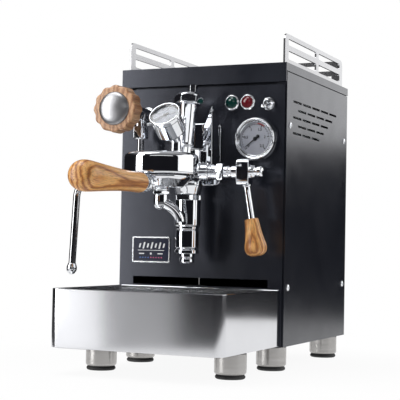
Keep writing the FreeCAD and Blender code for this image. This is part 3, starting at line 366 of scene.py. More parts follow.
def finish(name, dark, light, rough, patch=40, stretch=(1, 1, 1), relief=None, **constants):
    """A finish whose colour and roughness drift between two values, with fine relief.

    relief is (stretch, scale per metre, strength, depth in millimetres)."""
    look, tree, shader = new_finish(name, **constants)
    cloud = grain(tree, stretch, patch, detail=4)
    tree.links.new(ramp(tree, cloud, (0.32, dark), (0.68, light)), shader.inputs["Base Color"])
    tree.links.new(spread(tree, grain(tree, stretch, patch * 1.7, detail=5), *rough),
        shader.inputs["Roughness"])
    if relief:
        fine = grain(tree, relief[0], relief[1], detail=2)
        tree.links.new(bump(tree, fine, relief[2], relief[3]), shader.inputs["Normal"])
    return look


def wood_finish(name, tones):
    """Oiled olive wood: long darker streaks and pores along the piece's own Z."""
    look, tree, shader = new_finish(name, Specular_IOR_Level=0.45, Coat_Weight=0.25, Coat_Roughness=0.22)
    place = wire(tree, "TexCoord")
    room = wire(tree, "Mapping", Vector=place.outputs["Object"], Scale=(1, 1, 0.11), Rotation=(0.06, 0.05,
        0))
    warp = wire(tree, "TexNoise", Vector=room.outputs["Vector"], Scale=55, Detail=3)
    shift = wire(tree, "VectorMath", {"operation": "MULTIPLY_ADD"})
    tree.links.new(warp.outputs["Color"], shift.inputs[0])
    shift.inputs[1].default_value = (0.014, 0.014, 0.014)
    tree.links.new(room.outputs["Vector"], shift.inputs[2])
    figure = wire(tree, "TexWave", {"wave_type": "BANDS", "bands_direction": "X"},
        Vector=shift.outputs["Vector"], Scale=48, Distortion=5, Detail=3, Detail_Scale=1.6)
    colour = ramp(tree, figure.outputs["Fac"], (0, tones[0]), (0.3, tones[1]), (0.62, tones[2]),
        (1, tones[3]))
    pores = grain(tree, (1, 1, 0.05), 900, detail=2)
    mask = spread(tree, pores, 0.62, 1, 0.36, 0.5)
    blend = wire(tree, "MixRGB", {"blend_type": "MULTIPLY"}, Fac=1, Color1=colour, Color2=mask)
    tree.links.new(blend.outputs["Color"], shader.inputs["Base Color"])
    tree.links.new(spread(tree, pores, 0.5, 0.33, 0.35, 0.6), shader.inputs["Roughness"])
    tree.links.new(bump(tree, pores, 0.25, 0.12), shader.inputs["Normal"])
    return look


FULL = (1, 1, 1)
BLACK = finish("black_powder_coat", (0.0065, 0.0075, 0.0115), (0.0095, 0.0108, 0.0155), (0.2, 0.26),
    patch=14, relief=(FULL, 2600, 0.09, 0.06), Specular_IOR_Level=0.6, Specular_Tint=(0.84, 0.87, 1, 1))
CHROME = finish("chrome_plate", (0.74, 0.755, 0.79), (0.8, 0.815, 0.84), (0.025, 0.07), patch=30, Metallic=1)
POLISHED = finish("polished_steel", (0.33, 0.33, 0.34), (0.38, 0.38, 0.39), (0.18, 0.24), patch=9,
    relief=((0.05, 1, 1), 1500, 0.03, 0.02), Metallic=1)
MIRROR = finish("mirror_steel", (0.66, 0.665, 0.69), (0.73, 0.735, 0.76), (0.09, 0.12), patch=7, Metallic=1)
BRUSHED = finish("brushed_steel", (0.4, 0.39, 0.38), (0.45, 0.44, 0.43), (0.22, 0.26), patch=60,
    stretch=(0.3, 0.3, 3), relief=((0.05, 0.05, 1), 2200, 0.07, 0.02), Metallic=1)
TUBE = finish("tube_steel", (0.34, 0.34, 0.35), (0.42, 0.42, 0.43), (0.06, 0.12), patch=30, Metallic=1)
TURNED = finish("turned_steel", (0.27, 0.27, 0.28), (0.32, 0.32, 0.33), (0.28, 0.33), patch=50,
    relief=(FULL, 3000, 0.08, 0.02), Metallic=1)
SATIN = finish("satin_steel", (0.66, 0.67, 0.68), (0.76, 0.77, 0.78), (0.16, 0.24), patch=60,
    relief=(FULL, 3000, 0.08, 0.02), Metallic=1)
WOOD = wood_finish("olive_wood", ((0.34, 0.12, 0.028), (0.56, 0.235, 0.062), (0.7, 0.33, 0.095),
    (0.8, 0.43, 0.15)))
KNOB_WOOD = wood_finish("knob_wood", ((0.32, 0.15, 0.072), (0.45, 0.23, 0.115), (0.52, 0.285, 0.145),
    (0.58, 0.34, 0.185)))
RUBBER = finish("foot_rubber", (0.012, 0.012, 0.012), (0.022, 0.022, 0.023), (0.55, 0.75), patch=80,
    relief=(FULL, 1800, 0.3, 0.1))
GLASS = finish("gauge_glass", (0.97, 0.98, 0.98), (1, 1, 1), (0, 0.015), patch=20, IOR=1.3,
    Transmission_Weight=1)
GREEN = finish("green_lens", (0.001, 0.026, 0.022), (0.003, 0.045, 0.038), (0.03, 0.08), patch=120, IOR=1.5,
    Coat_Weight=0.3, Coat_Roughness=0.03)
RED = finish("red_lens", (0.085, 0.004, 0.008), (0.15, 0.009, 0.016), (0.03, 0.08), patch=120, IOR=1.5,
    Coat_Weight=0.3, Coat_Roughness=0.03)
DIAL = finish("dial_face", (0.52, 0.53, 0.61), (0.58, 0.59, 0.66), (0.45, 0.55), patch=60)
# The small gauge's dial is a darker copy of the dial face: painted shade, so the top light does not wash it
# out.
SMALL_DIAL_PAINTED_SHADE = finish("small_dial_face_painted_shade", (0.27, 0.29, 0.35), (0.33, 0.35, 0.41), (0.45, 0.55), patch=60)
# Black ink of the dial scales and pointers; the same finish is also painted shade, on the small gauge's dial
# rim and the steam tip's holes.
INK_AND_SHADE = finish("dial_ink_and_painted_shade", (0.01, 0.01, 0.014), (0.022, 0.022, 0.028), (0.5, 0.6), patch=200)
RED_INK = finish("dial_red_ink", (0.42, 0.02, 0.02), (0.52, 0.03, 0.03), (0.5, 0.6), patch=200)
NAVY = finish("plate_enamel", (0.006, 0.008, 0.022), (0.01, 0.013, 0.034), (0.16, 0.24), patch=60,
    Coat_Weight=0.15, Coat_Roughness=0.08, Specular_IOR_Level=0.3)
PALE_INK = finish("plate_ink", (0.62, 0.62, 0.64), (0.74, 0.74, 0.76), (0.3, 0.4), patch=200)
BLUE_INK = finish("plate_blue_ink", (0.03, 0.12, 0.42), (0.05, 0.18, 0.55), (0.3, 0.4), patch=200)
ROSE_INK = finish("plate_rose_ink", (0.42, 0.03, 0.14), (0.55, 0.06, 0.2), (0.3, 0.4), patch=200)
PLASTIC = finish("dark_plastic", (0.014, 0.014, 0.015), (0.024, 0.024, 0.026), (0.42, 0.55), patch=60,
    relief=(FULL, 2000, 0.25, 0.08))
CLEAR = finish("clear_plastic", (0.86, 0.9, 0.92), (0.93, 0.95, 0.96), (0.05, 0.12), patch=20, IOR=1.2,
    Transmission_Weight=0.9)
BRASS = finish("brass", (0.52, 0.34, 0.12), (0.66, 0.45, 0.18), (0.22, 0.38), patch=90, Metallic=1)
COPPER = finish("copper", (0.55, 0.23, 0.12), (0.7, 0.33, 0.19), (0.2, 0.4), patch=50, Metallic=1)

# Finishes of the CAD parts whose own shape is shown; chrome where none is given.
NODE_LOOKS = {
    "chassis_base": BLACK, "front_panel": BLACK, "side_panel_left": BLACK, "side_panel_right": BLACK,
    "rear_panel": BLACK, "lid": BLACK, "cup_rail_left": POLISHED, "cup_rail_right": POLISHED,
    "cup_rail_rear": POLISHED, "cup_tray": SATIN, "drip_grid": SATIN, "shower_screen": BRUSHED,
    "filter_basket": BRUSHED, "steam_stem": BRUSHED, "group_gasket": RUBBER, "pressure_switch": PLASTIC,
    "pump": PLASTIC, "control_box": PLASTIC, "power_inlet": PLASTIC, "water_tank": CLEAR, "boiler": COPPER,
    "copper_pipes": COPPER, "heating_element": BRASS, "safety_valve": BRASS,
}
# Edge radii of the sheet and moulded parts, in millimetres.
EDGE_RADIUS = {
    "lid": 0.7, "front_panel": 0.3, "side_panel_left": 0.45, "side_panel_right": 0.45, "rear_panel": 0.4,
    "chassis_base": 0.5, "cup_rail_left": 0.5, "cup_rail_right": 0.5, "cup_rail_rear": 0.5,
    "cup_tray": 0.35, "drip_grid": 0.35, "water_tank": 0.6, "control_box": 0.8, "power_inlet": 0.5,
}


def finish_nodes():
    """Gives every CAD part its finish, and the sheet-metal ones their small edge radii."""
    for node, part in frame["nodes"].items():
        part.data.materials.clear()
        part.data.materials.append(NODE_LOOKS.get(node, CHROME))
        if node in EDGE_RADIUS:
            dress(part, EDGE_RADIUS[node])


# ---- feet, tray, screws, nameplate

def make_feet():
    """Brushed foot cylinders with a shadow groove, on flared rubber pads."""
    low, high, _ = span("feet")
    pad_low = span("foot_pads")[0]
    foot_r, pad_r = 19.7, 18.5
    front_x, front_y, mid_y = 89.5, low.y + foot_r, 22.6
    rear_x, rear_y = high.x - foot_r, high.y - foot_r
    spots = (front_x, front_y), (rear_x, mid_y), (rear_x, rear_y)
    places = [(side * x, y) for side in (1, -1) for x, y in spots]
    tall = high.z - low.z
    foot = [(0, 0), (foot_r - 1, 0), (foot_r - 1, 0.8), (foot_r, 1.5), (foot_r, tall - 1.4),
        (foot_r - 1.2, tall), (0, tall)]
    pad = [(0, 0), (pad_r - 1.6, 0), (pad_r, 1.4), (pad_r, 3.4), (pad_r - 1.2, 4.6), (pad_r - 1.2, 6),
        (0, 6)]
    feet = merged(*[(lathe(foot, 0.6), at(x, y, low.z)) for x, y in places])
    pads = merged(*[(lathe(pad, 0.5), at(x, y, pad_low.z)) for x, y in places])
    piece("feet_brushed", feet, "machine", BRUSHED, "steel_brushed", stands_for=["feet"])
    piece("feet_rubber", pads, "machine", RUBBER, "rubber", stands_for=["foot_pads"])


def make_screws():
    """Domed screw heads with a hexagon socket on both side panels."""
    low, high, _ = span("side_screws")
    head_r, rise = 4.2, 1.8
    dome = [(head_r, 0), (head_r, 0.35), (head_r * 0.88, 1.05), (head_r * 0.62, 1.6), (2, rise),
        (1.75, rise - 0.05), (1.6, 0.7), (0, 0.6)]
    heads = []
    for x, toward in ((high.x - rise, RIGHT), (low.x + rise, -RIGHT)):
        for y in (low.y + head_r, high.y - head_r):
            for z in (low.z + head_r, high.z - head_r):
                heads.append((lathe([(0, 0)] + dome, 0.25, 40), at(x, y, z, toward)))
    chromed("side_screw_heads", merged(*heads), "machine", stands_for=["side_screws"])


def make_tray():
    """Deep polished tray with a rolled rim, an inner ledge and a basin."""
    low, high, _ = span("drip_tray")
    corner, wall, ledge = 12, 1.2, 4
    seat, skirt = span("drip_grid")[0].z, 58.5

    def ring(inset, height):
        front = max(corner - inset, 0.8)
        rear = max(1.6 - inset, 0.4)
        corners = (low.x + inset, low.y + inset), (high.x - inset, high.y - inset)
        return section(oblong(*corners, (front, front, rear, rear), 10), height)

    rings = [ring(wall, skirt), ring(wall, low.z), ring(wall * 0.5, low.z), ring(0.15, low.z + 0.15),
        ring(0, low.z + 0.7), ring(0, (low.z + high.z) / 2), ring(0, high.z - 0.8),
        ring(0.12, high.z - 0.25), ring(0.45, high.z), ring(wall - 0.3, high.z), ring(wall, high.z - 0.4),
        ring(wall, seat + 0.2), ring(wall + 0.2, seat), ring(ledge - 0.3, seat), ring(ledge, seat - 0.3),
        ring(ledge, 61.5), ring(ledge + 1.5, 60)]
    piece("drip_tray_shell", skin(rings), "tray", MIRROR, "steel_polished", stands_for=["drip_tray"])


def make_nameplate():
    """A silver-rimmed plate with dark enamel and a plain decorative pattern of bars and dots."""
    low, high, middle = span("nameplate")
    half_x, half_z = (high.x - low.x) / 2, (high.z - low.z) / 2
    thick = high.y - low.y
    place = facing((middle.x, high.y, middle.z), FRONT)

    def frame_ring(inset, height):
        radius = max(2.2 - inset, 0.5)
        corners = (-half_x + inset, -half_z + inset), (half_x - inset, half_z - inset)
        return section(oblong(*corners, (radius,) * 4), height)

    rim = skin([frame_ring(0, 0), frame_ring(0, thick - 0.4), frame_ring(0.4, thick), frame_ring(1.4, thick),
        frame_ring(1.8, thick - 0.6), frame_ring(1.8, 0)], loop=True)
    piece("nameplate_rim", rim, "machine", SATIN, "plate", place, ["nameplate"])
    top = thick - 0.62
    face = skin([frame_ring(1.7, 0), frame_ring(1.7, top)])
    piece("nameplate_face", face, "machine", NAVY, "plate", place)

    def bar(x, y, wide, tall, lean=0):
        outline = oblong((x - wide / 2, y - tall / 2), (x + wide / 2, y + tall / 2),
            (min(wide, tall) * 0.45,) * 4, 3)
        outline = [(px + lean * py, py) for px, py in outline]
        return skin([section(outline, height) for height in (top - 0.1, top + 0.12)])

    motif = [bar(x, 5.6, 2.4, 9 if k % 2 else 6, 0.25) for k, x in enumerate(range(-18, 19, 6))]
    motif += [bar(0, -0.9, 40, 0.7), bar(-14, -5.4, 8, 1.5), bar(14, -5.4, 8, 1.5), bar(0, -5.4, 3, 3)]
    piece("nameplate_motif", merged(*motif), "machine", PALE_INK, "plate", place, sharp=60)
    rows = ("blue", BLUE_INK, (-16, -12, -8, -4)), ("rose", ROSE_INK, (0, 4, 8, 12, 16))
    for colour, look, columns in rows:
        dots = merged(*[bar(x, -10.6, 1.7, 1.7) for x in columns])
        piece("nameplate_dots_" + colour, dots, "machine", look, "plate", place, sharp=60)


# ---- lamps, switch, gauges

def make_lamps():
    """Stepped chrome bezels with cut lenses."""
    low, high, middle = span("lamp_bezels")
    outer = (high.z - low.z) / 2
    ring = [(8.1, 0), (outer, 0), (outer, 1.1), (outer - 0.8, 2), (outer - 1.5, 2.6), (8.6, 2.6),
        (8.1, 2.1)]
    sleeve = [(7, -15), (8.2, -15), (8.2, 0.2), (7, 0.2)]
    spots = [(low.x + outer, 0, middle.z), (high.x - outer, 0, middle.z)]
    rings = [(lathe(ring, 0.35, 64, loop=True), at(*spot, FRONT)) for spot in spots]
    rings += [(lathe(sleeve, 0.2, 48, loop=True), at(*spot, FRONT)) for spot in spots]
    chromed("lamp_bezel_rings", merged(*rings), "machine", stands_for=["lamp_bezels"])
    cuts = ((7.95, 0.4, 0), (7.95, 1.7, 0), (7, 2.5, 0.5), (5, 3.2, 0), (2.6, 3.7, 0.5), (0, 3.9, 0))
    for node, spot, look in (("lamp_lens_green", spots[0], GREEN), ("lamp_lens_red", spots[1], RED)):
        rings = [section(circle(radius, 12, turn * tau / 12), height) for radius, height, turn in cuts]
        piece(node + "_cut", skin(rings), "machine", look, node.replace("lamp_lens", "lens"),
            facing(spot, FRONT), [node], flat=True)


def make_switch():
    """Toggle switch: nut, threaded bush and bat lever in front, its case behind the panel."""
    pivot = pivots["switch_flip"]
    place = at(pivot.x, 0, pivot.z, FRONT)
    bush = [(4.5, 0)] + [(r, 2.4 + 0.45 * k) for k in range(11) for r in ((6,) if k % 2 else (5.6,))]
    bush += [(5.4, 7.7), (4.6, 8), (4.5, 7.6)]
    washer = [(6.2, 0), (8.2, 0), (8.2, 0.6), (6.2, 0.6)]
    case = skin([section(oblong((-8 + i, -13 + i), (8 - i, 13 - i), (max(1.5 - i, 0.3),) * 4), z)
                 for i, z in ((0.6, -27), (0, -26.4), (0, -2.3), (0.6, -1.7))])
    body = merged((nut(7.2, 0.4, 2.9), place), (lathe(bush, 0.12, 56, loop=True), place),
        (lathe(washer, 0.15, 56, loop=True), place))
    chromed("switch_nut_and_bush", body, "machine", stands_for=["switch_body"])
    piece("switch_case", merged((case, place)), "machine", PLASTIC, "chrome")
    lean = radians(17)
    bat = flowing([(1.6, 2.6), (1.55, 5), (1.8, 9), (2.5, 14), (2.85, 16), (2.3, 17.5)], 5)
    lever = lathe([(0, -2.9), (1.9, -2.2), (2.9, 0), (2.3, 1.9), *bat, (0, 18)], 0, 40)
    chromed("switch_bat", lever, "switch", facing(pivot, (0, -cos(lean), -sin(lean))), ["switch_lever"])


def arc_mark(inner, outer, start, end, low, high, steps=24):
    """A flat curved bar between two radii and two angles in degrees."""
    corners = (inner, low), (outer, low), (outer, high), (inner, high)
    rings = []
    for s in range(steps + 1):
        angle = radians(start + (end - start) * s / steps)
        x, y = cos(angle), sin(angle)
        rings.append([(x * r, y * r, z) for r, z in corners])
    return skin(rings)


def spoke(inner, outer, angle, wide, low, high):
    """A flat straight mark along a radius."""
    half = wide / 2
    corners = (inner, -half), (outer, -half), (outer, half), (inner, half)
    mark = skin([section(corners, z) for z in (low, high)])
    bmesh.ops.rotate(mark, matrix=Matrix.Rotation(radians(angle), 3, "Z"), verts=mark.verts)
    return mark


def numeral(text, x, y, size, low):
    """A plain number as a thin solid, centred on a point."""
    curve = bpy.data.curves.new("numeral", "FONT")
    curve.body = text
    curve.size = size
    curve.align_x, curve.align_y = "CENTER", "CENTER"
    curve.extrude = 0.03
    curve.offset = size * 0.03
    curve.resolution_u = 2
    holder = bpy.data.objects.new("numeral", curve)
    shape = bpy.data.meshes.new_from_object(holder)
    bpy.data.objects.remove(holder)
    bpy.data.curves.remove(curve)
    mesh = bmesh.new()
    mesh.from_mesh(shape)
    bpy.data.meshes.remove(shape)
    bmesh.ops.remove_doubles(mesh, verts=mesh.verts, dist=0.002)
    bmesh.ops.translate(mesh, vec=(x, y, low + 0.03), verts=mesh.verts)
    return mesh


def dial_marks(radius, level, numbers, start=225, sweep_by=270, fine=5):
    """Scale line, ticks and numbers of a dial."""
    count = len(numbers) - 1
    top = level + 0.07
    marks = [arc_mark(radius * 0.885, radius * 0.905, start, start - sweep_by, level, top, 72)]
    for k in range(count * fine + 1):
        angle = start - sweep_by * k / (count * fine)
        major = k % fine == 0
        marks.append(spoke(radius * (0.76 if major else 0.83), radius * 0.9, angle,
            radius * (0.055 if major else 0.022), level, top))
    for k, text in enumerate(numbers):
        angle = radians(start - sweep_by * k / count)
        x, y = radius * 0.62 * cos(angle), radius * 0.62 * sin(angle)
        marks.append(numeral(text, x, y, radius * 0.23, level))
    return marks


def pointer(dial_r, thick, hub):
    """A tapered pointer with a round counterweight and its hub, turned to where it rests."""
    reach, tail = dial_r * 0.8, dial_r * 0.34
    half = reach * 0.045
    tip = half * 0.3
    blade_line = [(-tail * 0.55, -half), (reach * 0.7, -half * 0.7), (reach, -tip), (reach, tip),
        (reach * 0.7, half * 0.7), (-tail * 0.55, half)]
    blade = skin([section(blade_line, z) for z in (0, thick)])
    weight = lathe([(0, 0), (tail * 0.32, 0), (tail * 0.32, thick), (0, thick)], 0.1, 40)
    turn = Matrix.Rotation(radians(218), 4, "Z")
    return merged((blade, turn), (weight, turn @ at(-tail * 0.68)), hub)


def make_boiler_gauge():
    """Panel gauge: deep polished bezel, recessed dial with a scale, pointer, and domed glass."""
    low, high, _ = span("boiler_gauge_case")
    outer, proud = (high.z - low.z) / 2, -low.y
    place = facing(((low.x + high.x) / 2, 0, (low.z + high.z) / 2), FRONT)
    dial_r = 21.4
    case = [(0, -36), (6, -36), (6, -25), (25.6, -25), (25.6, 0), (outer, 0), (outer, 1.4),
        (outer - 0.5, 2.2), (outer - 0.5, proud - 3.2), (outer - 1, proud - 1.2), (outer - 2.2, proud),
        (25.2, proud - 0.3), (24.4, proud - 1.8), (22.5, 7.4), (22.5, 6), (dial_r, 5.4), (dial_r, 3.1),
        (0, 3.1)]
    chromed("boiler_gauge_bezel", lathe(case, 0.7), "machine", place, ["boiler_gauge_case"])
    disc = [(0, 3.1), (dial_r - 0.25, 3.1), (dial_r - 0.25, 3.5), (0, 3.5)]
    piece("boiler_gauge_dial", lathe(disc, 0.1), "machine", DIAL, "dial", place, ["gauge_dials"])
    marks = dial_marks(dial_r, 3.5, ("0", "0.5", "1", "1.5", "2", "2.5"))
    piece("boiler_gauge_scale", merged(*marks), "machine", INK_AND_SHADE, "dial", place, sharp=60)
    band = arc_mark(dial_r * 0.91, dial_r * 0.97, 82, 52, 3.5, 3.57)
    piece("boiler_gauge_band", band, "machine", RED_INK, "dial", place, sharp=60)
    glass = [(0, 7.9), (14, 7.75), (22.3, 7.1), (22.3, 6.2), (14, 6.8), (0, 6.95)]
    piece("boiler_gauge_glass", lathe(glass, 0.1), "machine", GLASS, "glass", place, ["gauge_glasses"])
    hub = lathe([(0, -0.4), (2.6, -0.4), (2.6, 0.9), (1.6, 1.5), (0, 1.6)], 0.2, 40)
    piece("boiler_gauge_pointer", pointer(dial_r, 0.5, hub), "boiler_pointer", INK_AND_SHADE, "needle",
        facing(pivots["boiler_pointer_turn"], FRONT), ["boiler_needle"])


GAUGE_TILT = Vector((0, -0.75, 0.6614)).normalized()


def make_group_gauge():
    """Small tilted gauge on the group with its long case."""
    pivot = pivots["group_pointer_turn"]
    place = facing(pivot - GAUGE_TILT * 0.2, GAUGE_TILT)
    dial_r, outer = 16.6, 20.6
    case = [(0, -28.5), (16.2, -28.5), (18.4, -26.9), (19, -25), (19, -4.2), (19.6, -3.2), (outer, -2.6),
        (outer, 1.9), (outer - 0.4, 3), (outer - 1.2, 3.55), (18.5, 3.4), (18, 2.6), (18, -1.1),
        (0, -1.1)]
    chromed("group_gauge_bezel", lathe(case, 0.6), "machine", place, ["group_gauge_case"])
    disc = [(0, -1.15), (dial_r - 0.1, -1.15), (dial_r - 0.1, -0.8), (0, -0.8)]
    # Its dial takes the darker copy of the dial face: painted shade.
    piece("group_gauge_dial", lathe(disc, 0.1), "machine", SMALL_DIAL_PAINTED_SHADE, "dial", place)
    marks = dial_marks(dial_r, -0.8, ("0", "4", "8", "12", "16"))
    piece("group_gauge_scale", merged(*marks), "machine", INK_AND_SHADE, "dial", place, sharp=60)
    # A black ring over the bezel's inner wall round the dial: painted shade where that chrome wall looks
    # dark.
    rim = [(dial_r, -1.15), (17.9, -1.15), (17.9, 1.5), (17.4, 1.5), (dial_r, -0.6)]
    piece("group_gauge_dial_rim_painted_shade", lathe(rim, 0.1, loop=True), "machine", INK_AND_SHADE, "dial", place, sharp=60)
    glass = [(0, 3.1), (11, 2.95), (17.7, 2.5), (17.7, 1.8), (11, 2.2), (0, 2.35)]
    piece("group_gauge_glass", lathe(glass, 0.1), "machine", GLASS, "glass", place)
    hub = lathe([(0, -0.35), (2, -0.35), (2, 0.7), (1.2, 1.1), (0, 1.2)], 0.15, 40)
    piece("group_gauge_pointer", pointer(dial_r, 0.4, hub), "group_pointer", INK_AND_SHADE, "needle",
        facing(pivot, GAUGE_TILT), ["group_needle"])


# ---- brew group

SEAL = span("group_gasket")[2]


def make_bell():
    """Bell of the group with its rounded shoulder, hollow inside for the filter holder."""
    bell_r, low, high = 46, 246.4, 273.7
    outline = [(0, high), (bell_r - 7.5, high), (bell_r - 3.6, high - 0.9), (bell_r - 1, high - 3),
        (bell_r, high - 6), (bell_r, low + 2.6), (bell_r - 0.5, low + 0.9), (bell_r - 1.6, low),
        (38.2, low), (37.1, low + 0.6), (37.1, low + 2), (38.6, low + 2.2), (38.6, 258.5), (36.2, 258.5),
        (36.2, 266), (0, 266)]
    place = facing((SEAL.x, SEAL.y, 0))
    chromed("group_bell", lathe(outline, 1, 128), "machine", place, ["group_body"])


def make_neck():
    """Neck that joins the bell to the column, drawn in at its middle."""
    column_y = pivots["brew_lever_turn"].y
    sections = [(SEAL.y + 40, 24, 240.1, 273.3, 6), (SEAL.y + 47, 23, 239.8, 273.4, 7),
        (-62, 20.5, 240, 272.9, 8), (-56, 19.6, 240, 272.5, 8), (column_y - 8, 19, 239.7, 273.3, 8),
        (column_y + 8, 19, 239.6, 273.5, 8)]
    rings = [section(oblong((-half, low), (half, high), (radius,) * 4, 8), y, "y")
             for y, half, low, high, radius in sections]
    chromed("group_neck", skin(rings), "machine", sharp=50)


def make_column():
    """Upright column, its waist under it, the cam bosses, and the flange on the panel."""
    pivot = pivots["brew_lever_turn"]
    outline = [(0, 226), (15.5, 226), (16.4, 229.5), (18.7, 236.6), (19, 239), (19, 283.2), (17.8, 285.4),
        (15.5, 286), (0, 286)]
    column = merged((lathe(outline, 1.2), at(0, pivot.y)))
    right = (lathe([(5.2, 15), (12, 15), (12, 29.6), (11, 31.1), (5.2, 31.1)], 0.7, 64, loop=True),
        at(0, pivot.y, pivot.z, RIGHT))
    left = (lathe([(0, 15), (12, 15), (12, 25.4), (10.8, 26.9), (0, 26.9)], 0.7, 64),
        at(0, pivot.y, pivot.z, -RIGHT))
    chromed("group_column", column, "machine", sharp=50)
    chromed("group_cam_bosses", merged(right, left), "machine")
    flange = skin([section(oblong((-31 + i, 240 + i), (31 - i, 322 - i), (6 - i,) * 4), y, "y")
                   for y, i in ((-0.05, 0), (-5.8, 0), (-6.7, 0.35), (-7, 1.2))])
    chromed("group_flange", flange, "machine", sharp=60)


def make_cheeks():
    """Two pointed ribs beside the column, highest at their front edge."""
    edges = ((-33, ((16.7, 262), (17.7, 314), (25.5, 333), (29.2, 343), (30.5, 262))),
             (-0.5, ((16.7, 262), (17.7, 300), (24, 312), (28.6, 319), (31, 262))))
    for name, side in (("right", 1), ("left", -1)):
        rings = [section([(side * x, z) for x, z in edge], y, "y") for y, edge in edges]
        chromed("group_cheek_" + name, skin(rings), "machine", bevel=1.1, sharp=30)


CHAMBER_LEAN = radians(7.2)
CHAMBER_BASE = (0, -51.5, 273.7)
CHAMBER_LONG = 69.8
CAP_TURN = radians(24.5)


def make_upper_chamber():
    """Leaning upper chamber with its foot, hexagonal cap and plug."""
    place = Matrix.Translation(Vector(CHAMBER_BASE) * MM) @ Matrix.Rotation(-CHAMBER_LEAN, 4, "X")
    top = CHAMBER_LONG
    barrel = [(0, -2), (10.4, -2), (10.4, 12.4), (11.2, 12.8), (11.2, 14.2), (10.3, 15.2), (10.1, 18),
        (11.9, top - 6), (12, top - 1.2), (11.6, top), (0, top)]
    chromed("group_upper_chamber", lathe(barrel, 0.8), "machine", place, sharp=50)
    crown = [(0, top + 10.4), (15.6, top + 10.4), (15.3, top + 12), (13.2, top + 13.8), (9.4, top + 15.4),
        (8.4, top + 16), (0, top + 16)]
    collar = [(0, top - 0.2), (15.8, top - 0.2), (15.8, top + 0.8), (0, top + 0.8)]
    plug = (nut(5.7, top + 15.8, top + 26), at(4.5))
    cap = merged(nut(16.4, top + 0.6, top + 10.5), lathe(crown, 0.5), lathe(collar, 0.3), plug)
    chromed("group_cap", cap, "machine", place @ Matrix.Rotation(CAP_TURN, 4, "Z"), ["group_cap_nut"])


def make_lower_chamber():
    """Collar nut, stepped barrel, and drain fitting under the column."""
    low, high, middle = span("infusion_chamber")
    place = facing((middle.x, pivots["brew_lever_turn"].y, 0))
    barrel = [(0, 219), (16.7, 219), (16.7, 217.2), (16.7, 186.2), (15.9, 185), (15, 184.6),
        (15, 181.4), (14.4, 180.8), (14.4, 179.6), (15, 179), (15, 157.4), (14, low.z), (0, low.z)]
    chromed("infusion_barrel", merged(lathe(barrel, 0.6), nut(15.9, 217.9, high.z)), "machine", place,
        ["infusion_chamber"])
    end = span("drain_fitting")[0].z
    drain = [(0, end), (5.4, end), (5.4, end + 0.2), (8.4, end + 0.2), (9.6, end + 1.6), (9.6, end + 5.6),
        (8.8, end + 6.4), (8.8, end + 7.4), (9.8, end + 8.2), (9.8, end + 12.6), (15.6, end + 12.8),
        (15.6, end + 17), (13.8, end + 18.6), (0, end + 18.6)]
    chromed("drain_outlet", lathe(drain, 0.5), "machine", place, ["drain_fitting"])


def make_gauge_adapter():
    """Elbow from the bell to the small gauge."""
    foot = Vector((0, -77.5, span("gauge_adapter")[0].z))
    base = (merged(nut(7.8, 0, 6), lathe([(0, 5.9), (7, 5.9), (7, 10), (0, 10)], 0.3, 56)),
        at(*foot))
    end = pivots["group_pointer_turn"] - GAUGE_TILT * 28.9
    line = bent([tuple(foot + UP * 3), foot + UP * 19.1, end], 6)
    chromed("gauge_elbow", merged(base, sweep(line, [7] * len(line))), "machine",
        stands_for=["gauge_adapter"], sharp=40)


# ---- brew lever

LEVER_LEAN = radians(10.3)


def make_lever():
    """Brew lever: gland, shaft sleeve, hub block, acorn end nut, rod and teardrop grip."""
    pivot = pivots["brew_lever_turn"]
    place = facing((0, pivot.y, pivot.z), RIGHT)
    ring = [(5.1, 31.3), (10, 31.3), (10, 33.4), (9.4, 33.9), (9.4, 35), (10, 35.5), (10, 42.2),
        (5.1, 42.2)]
    gland = merged(lathe(ring, 0.35, 64, loop=True), nut(10.3, 42.1, 50.8))
    chromed("lever_gland", gland, "machine", place, ["cam_gland"])
    sleeve = [(0, 18), (5, 18), (5, 51.2), (7.4, 51.4), (8.3, 52.3), (8.3, 57.4), (7, 58.4), (7, 61.4),
        (8.3, 62.4), (8.3, 70.2), (0, 70.2)]
    chromed("lever_sleeve", lathe(sleeve, 0.5, 72), "brew_lever", place, ["lever_shaft"])
    low, high, middle = span("lever_hub")
    steps = ((low.x, 1.4), (low.x + 0.35, 0.5), (low.x + 1.3, 0), (high.x - 1.3, 0), (high.x - 0.35, 0.5),
        (high.x, 1.4))
    rings = [section(oblong((low.y + i, low.z + i), (high.y - i, high.z - i), (6.2 - i,) * 4, 8), x, "x")
             for x, i in steps]
    chromed("lever_hub_block", skin(rings), "brew_lever", stands_for=["lever_hub"], sharp=50)
    nut_low = span("lever_end_nut")[0]
    acorn = [(0, 0), (8.6, 0), (8.5, 2.2), (7.9, 4.4), (6.6, 6), (5.4, 6.6), (5.4, 9.6), (6.4, 9.8),
        (6.8, 10.4), (6.8, 14.6), (6.2, 15.8), (4.8, 16.8), (0, 17.6)]
    chromed("lever_acorn", lathe(acorn, 0.5, 64), "brew_lever", facing((nut_low.x, pivot.y, pivot.z), RIGHT),
        ["lever_end_nut"])
    along = Vector((sin(LEVER_LEAN), 0, -cos(LEVER_LEAN)))
    start = facing((middle.x, pivot.y, pivot.z), along)
    rod = [(0, 12), (4.3, 12), (4.3, 15.6), (5.6, 16), (5.8, 17.6), (5.6, 19.2), (4.5, 19.8), (4.3, 24),
        (4.3, 61.4), (0, 61.4)]
    chromed("lever_stick", lathe(rod, 0.4, 48), "brew_lever", start, ["lever_rod"])
    grip = flowing([(7.8, 60.9), (8.6, 61.8), (9.2, 67), (10.3, 76), (12, 86), (13.7, 94), (14.1, 98.5),
        (12.4, 104), (7.9, 107.4), (3.4, 108)], 6)
    piece("lever_wood_grip", lathe([(0, 60.9), *grip, (0, 108)], 0), "brew_lever", WOOD, "wood", start,
        ["lever_grip"], sharp=60)


# ---- filter holder

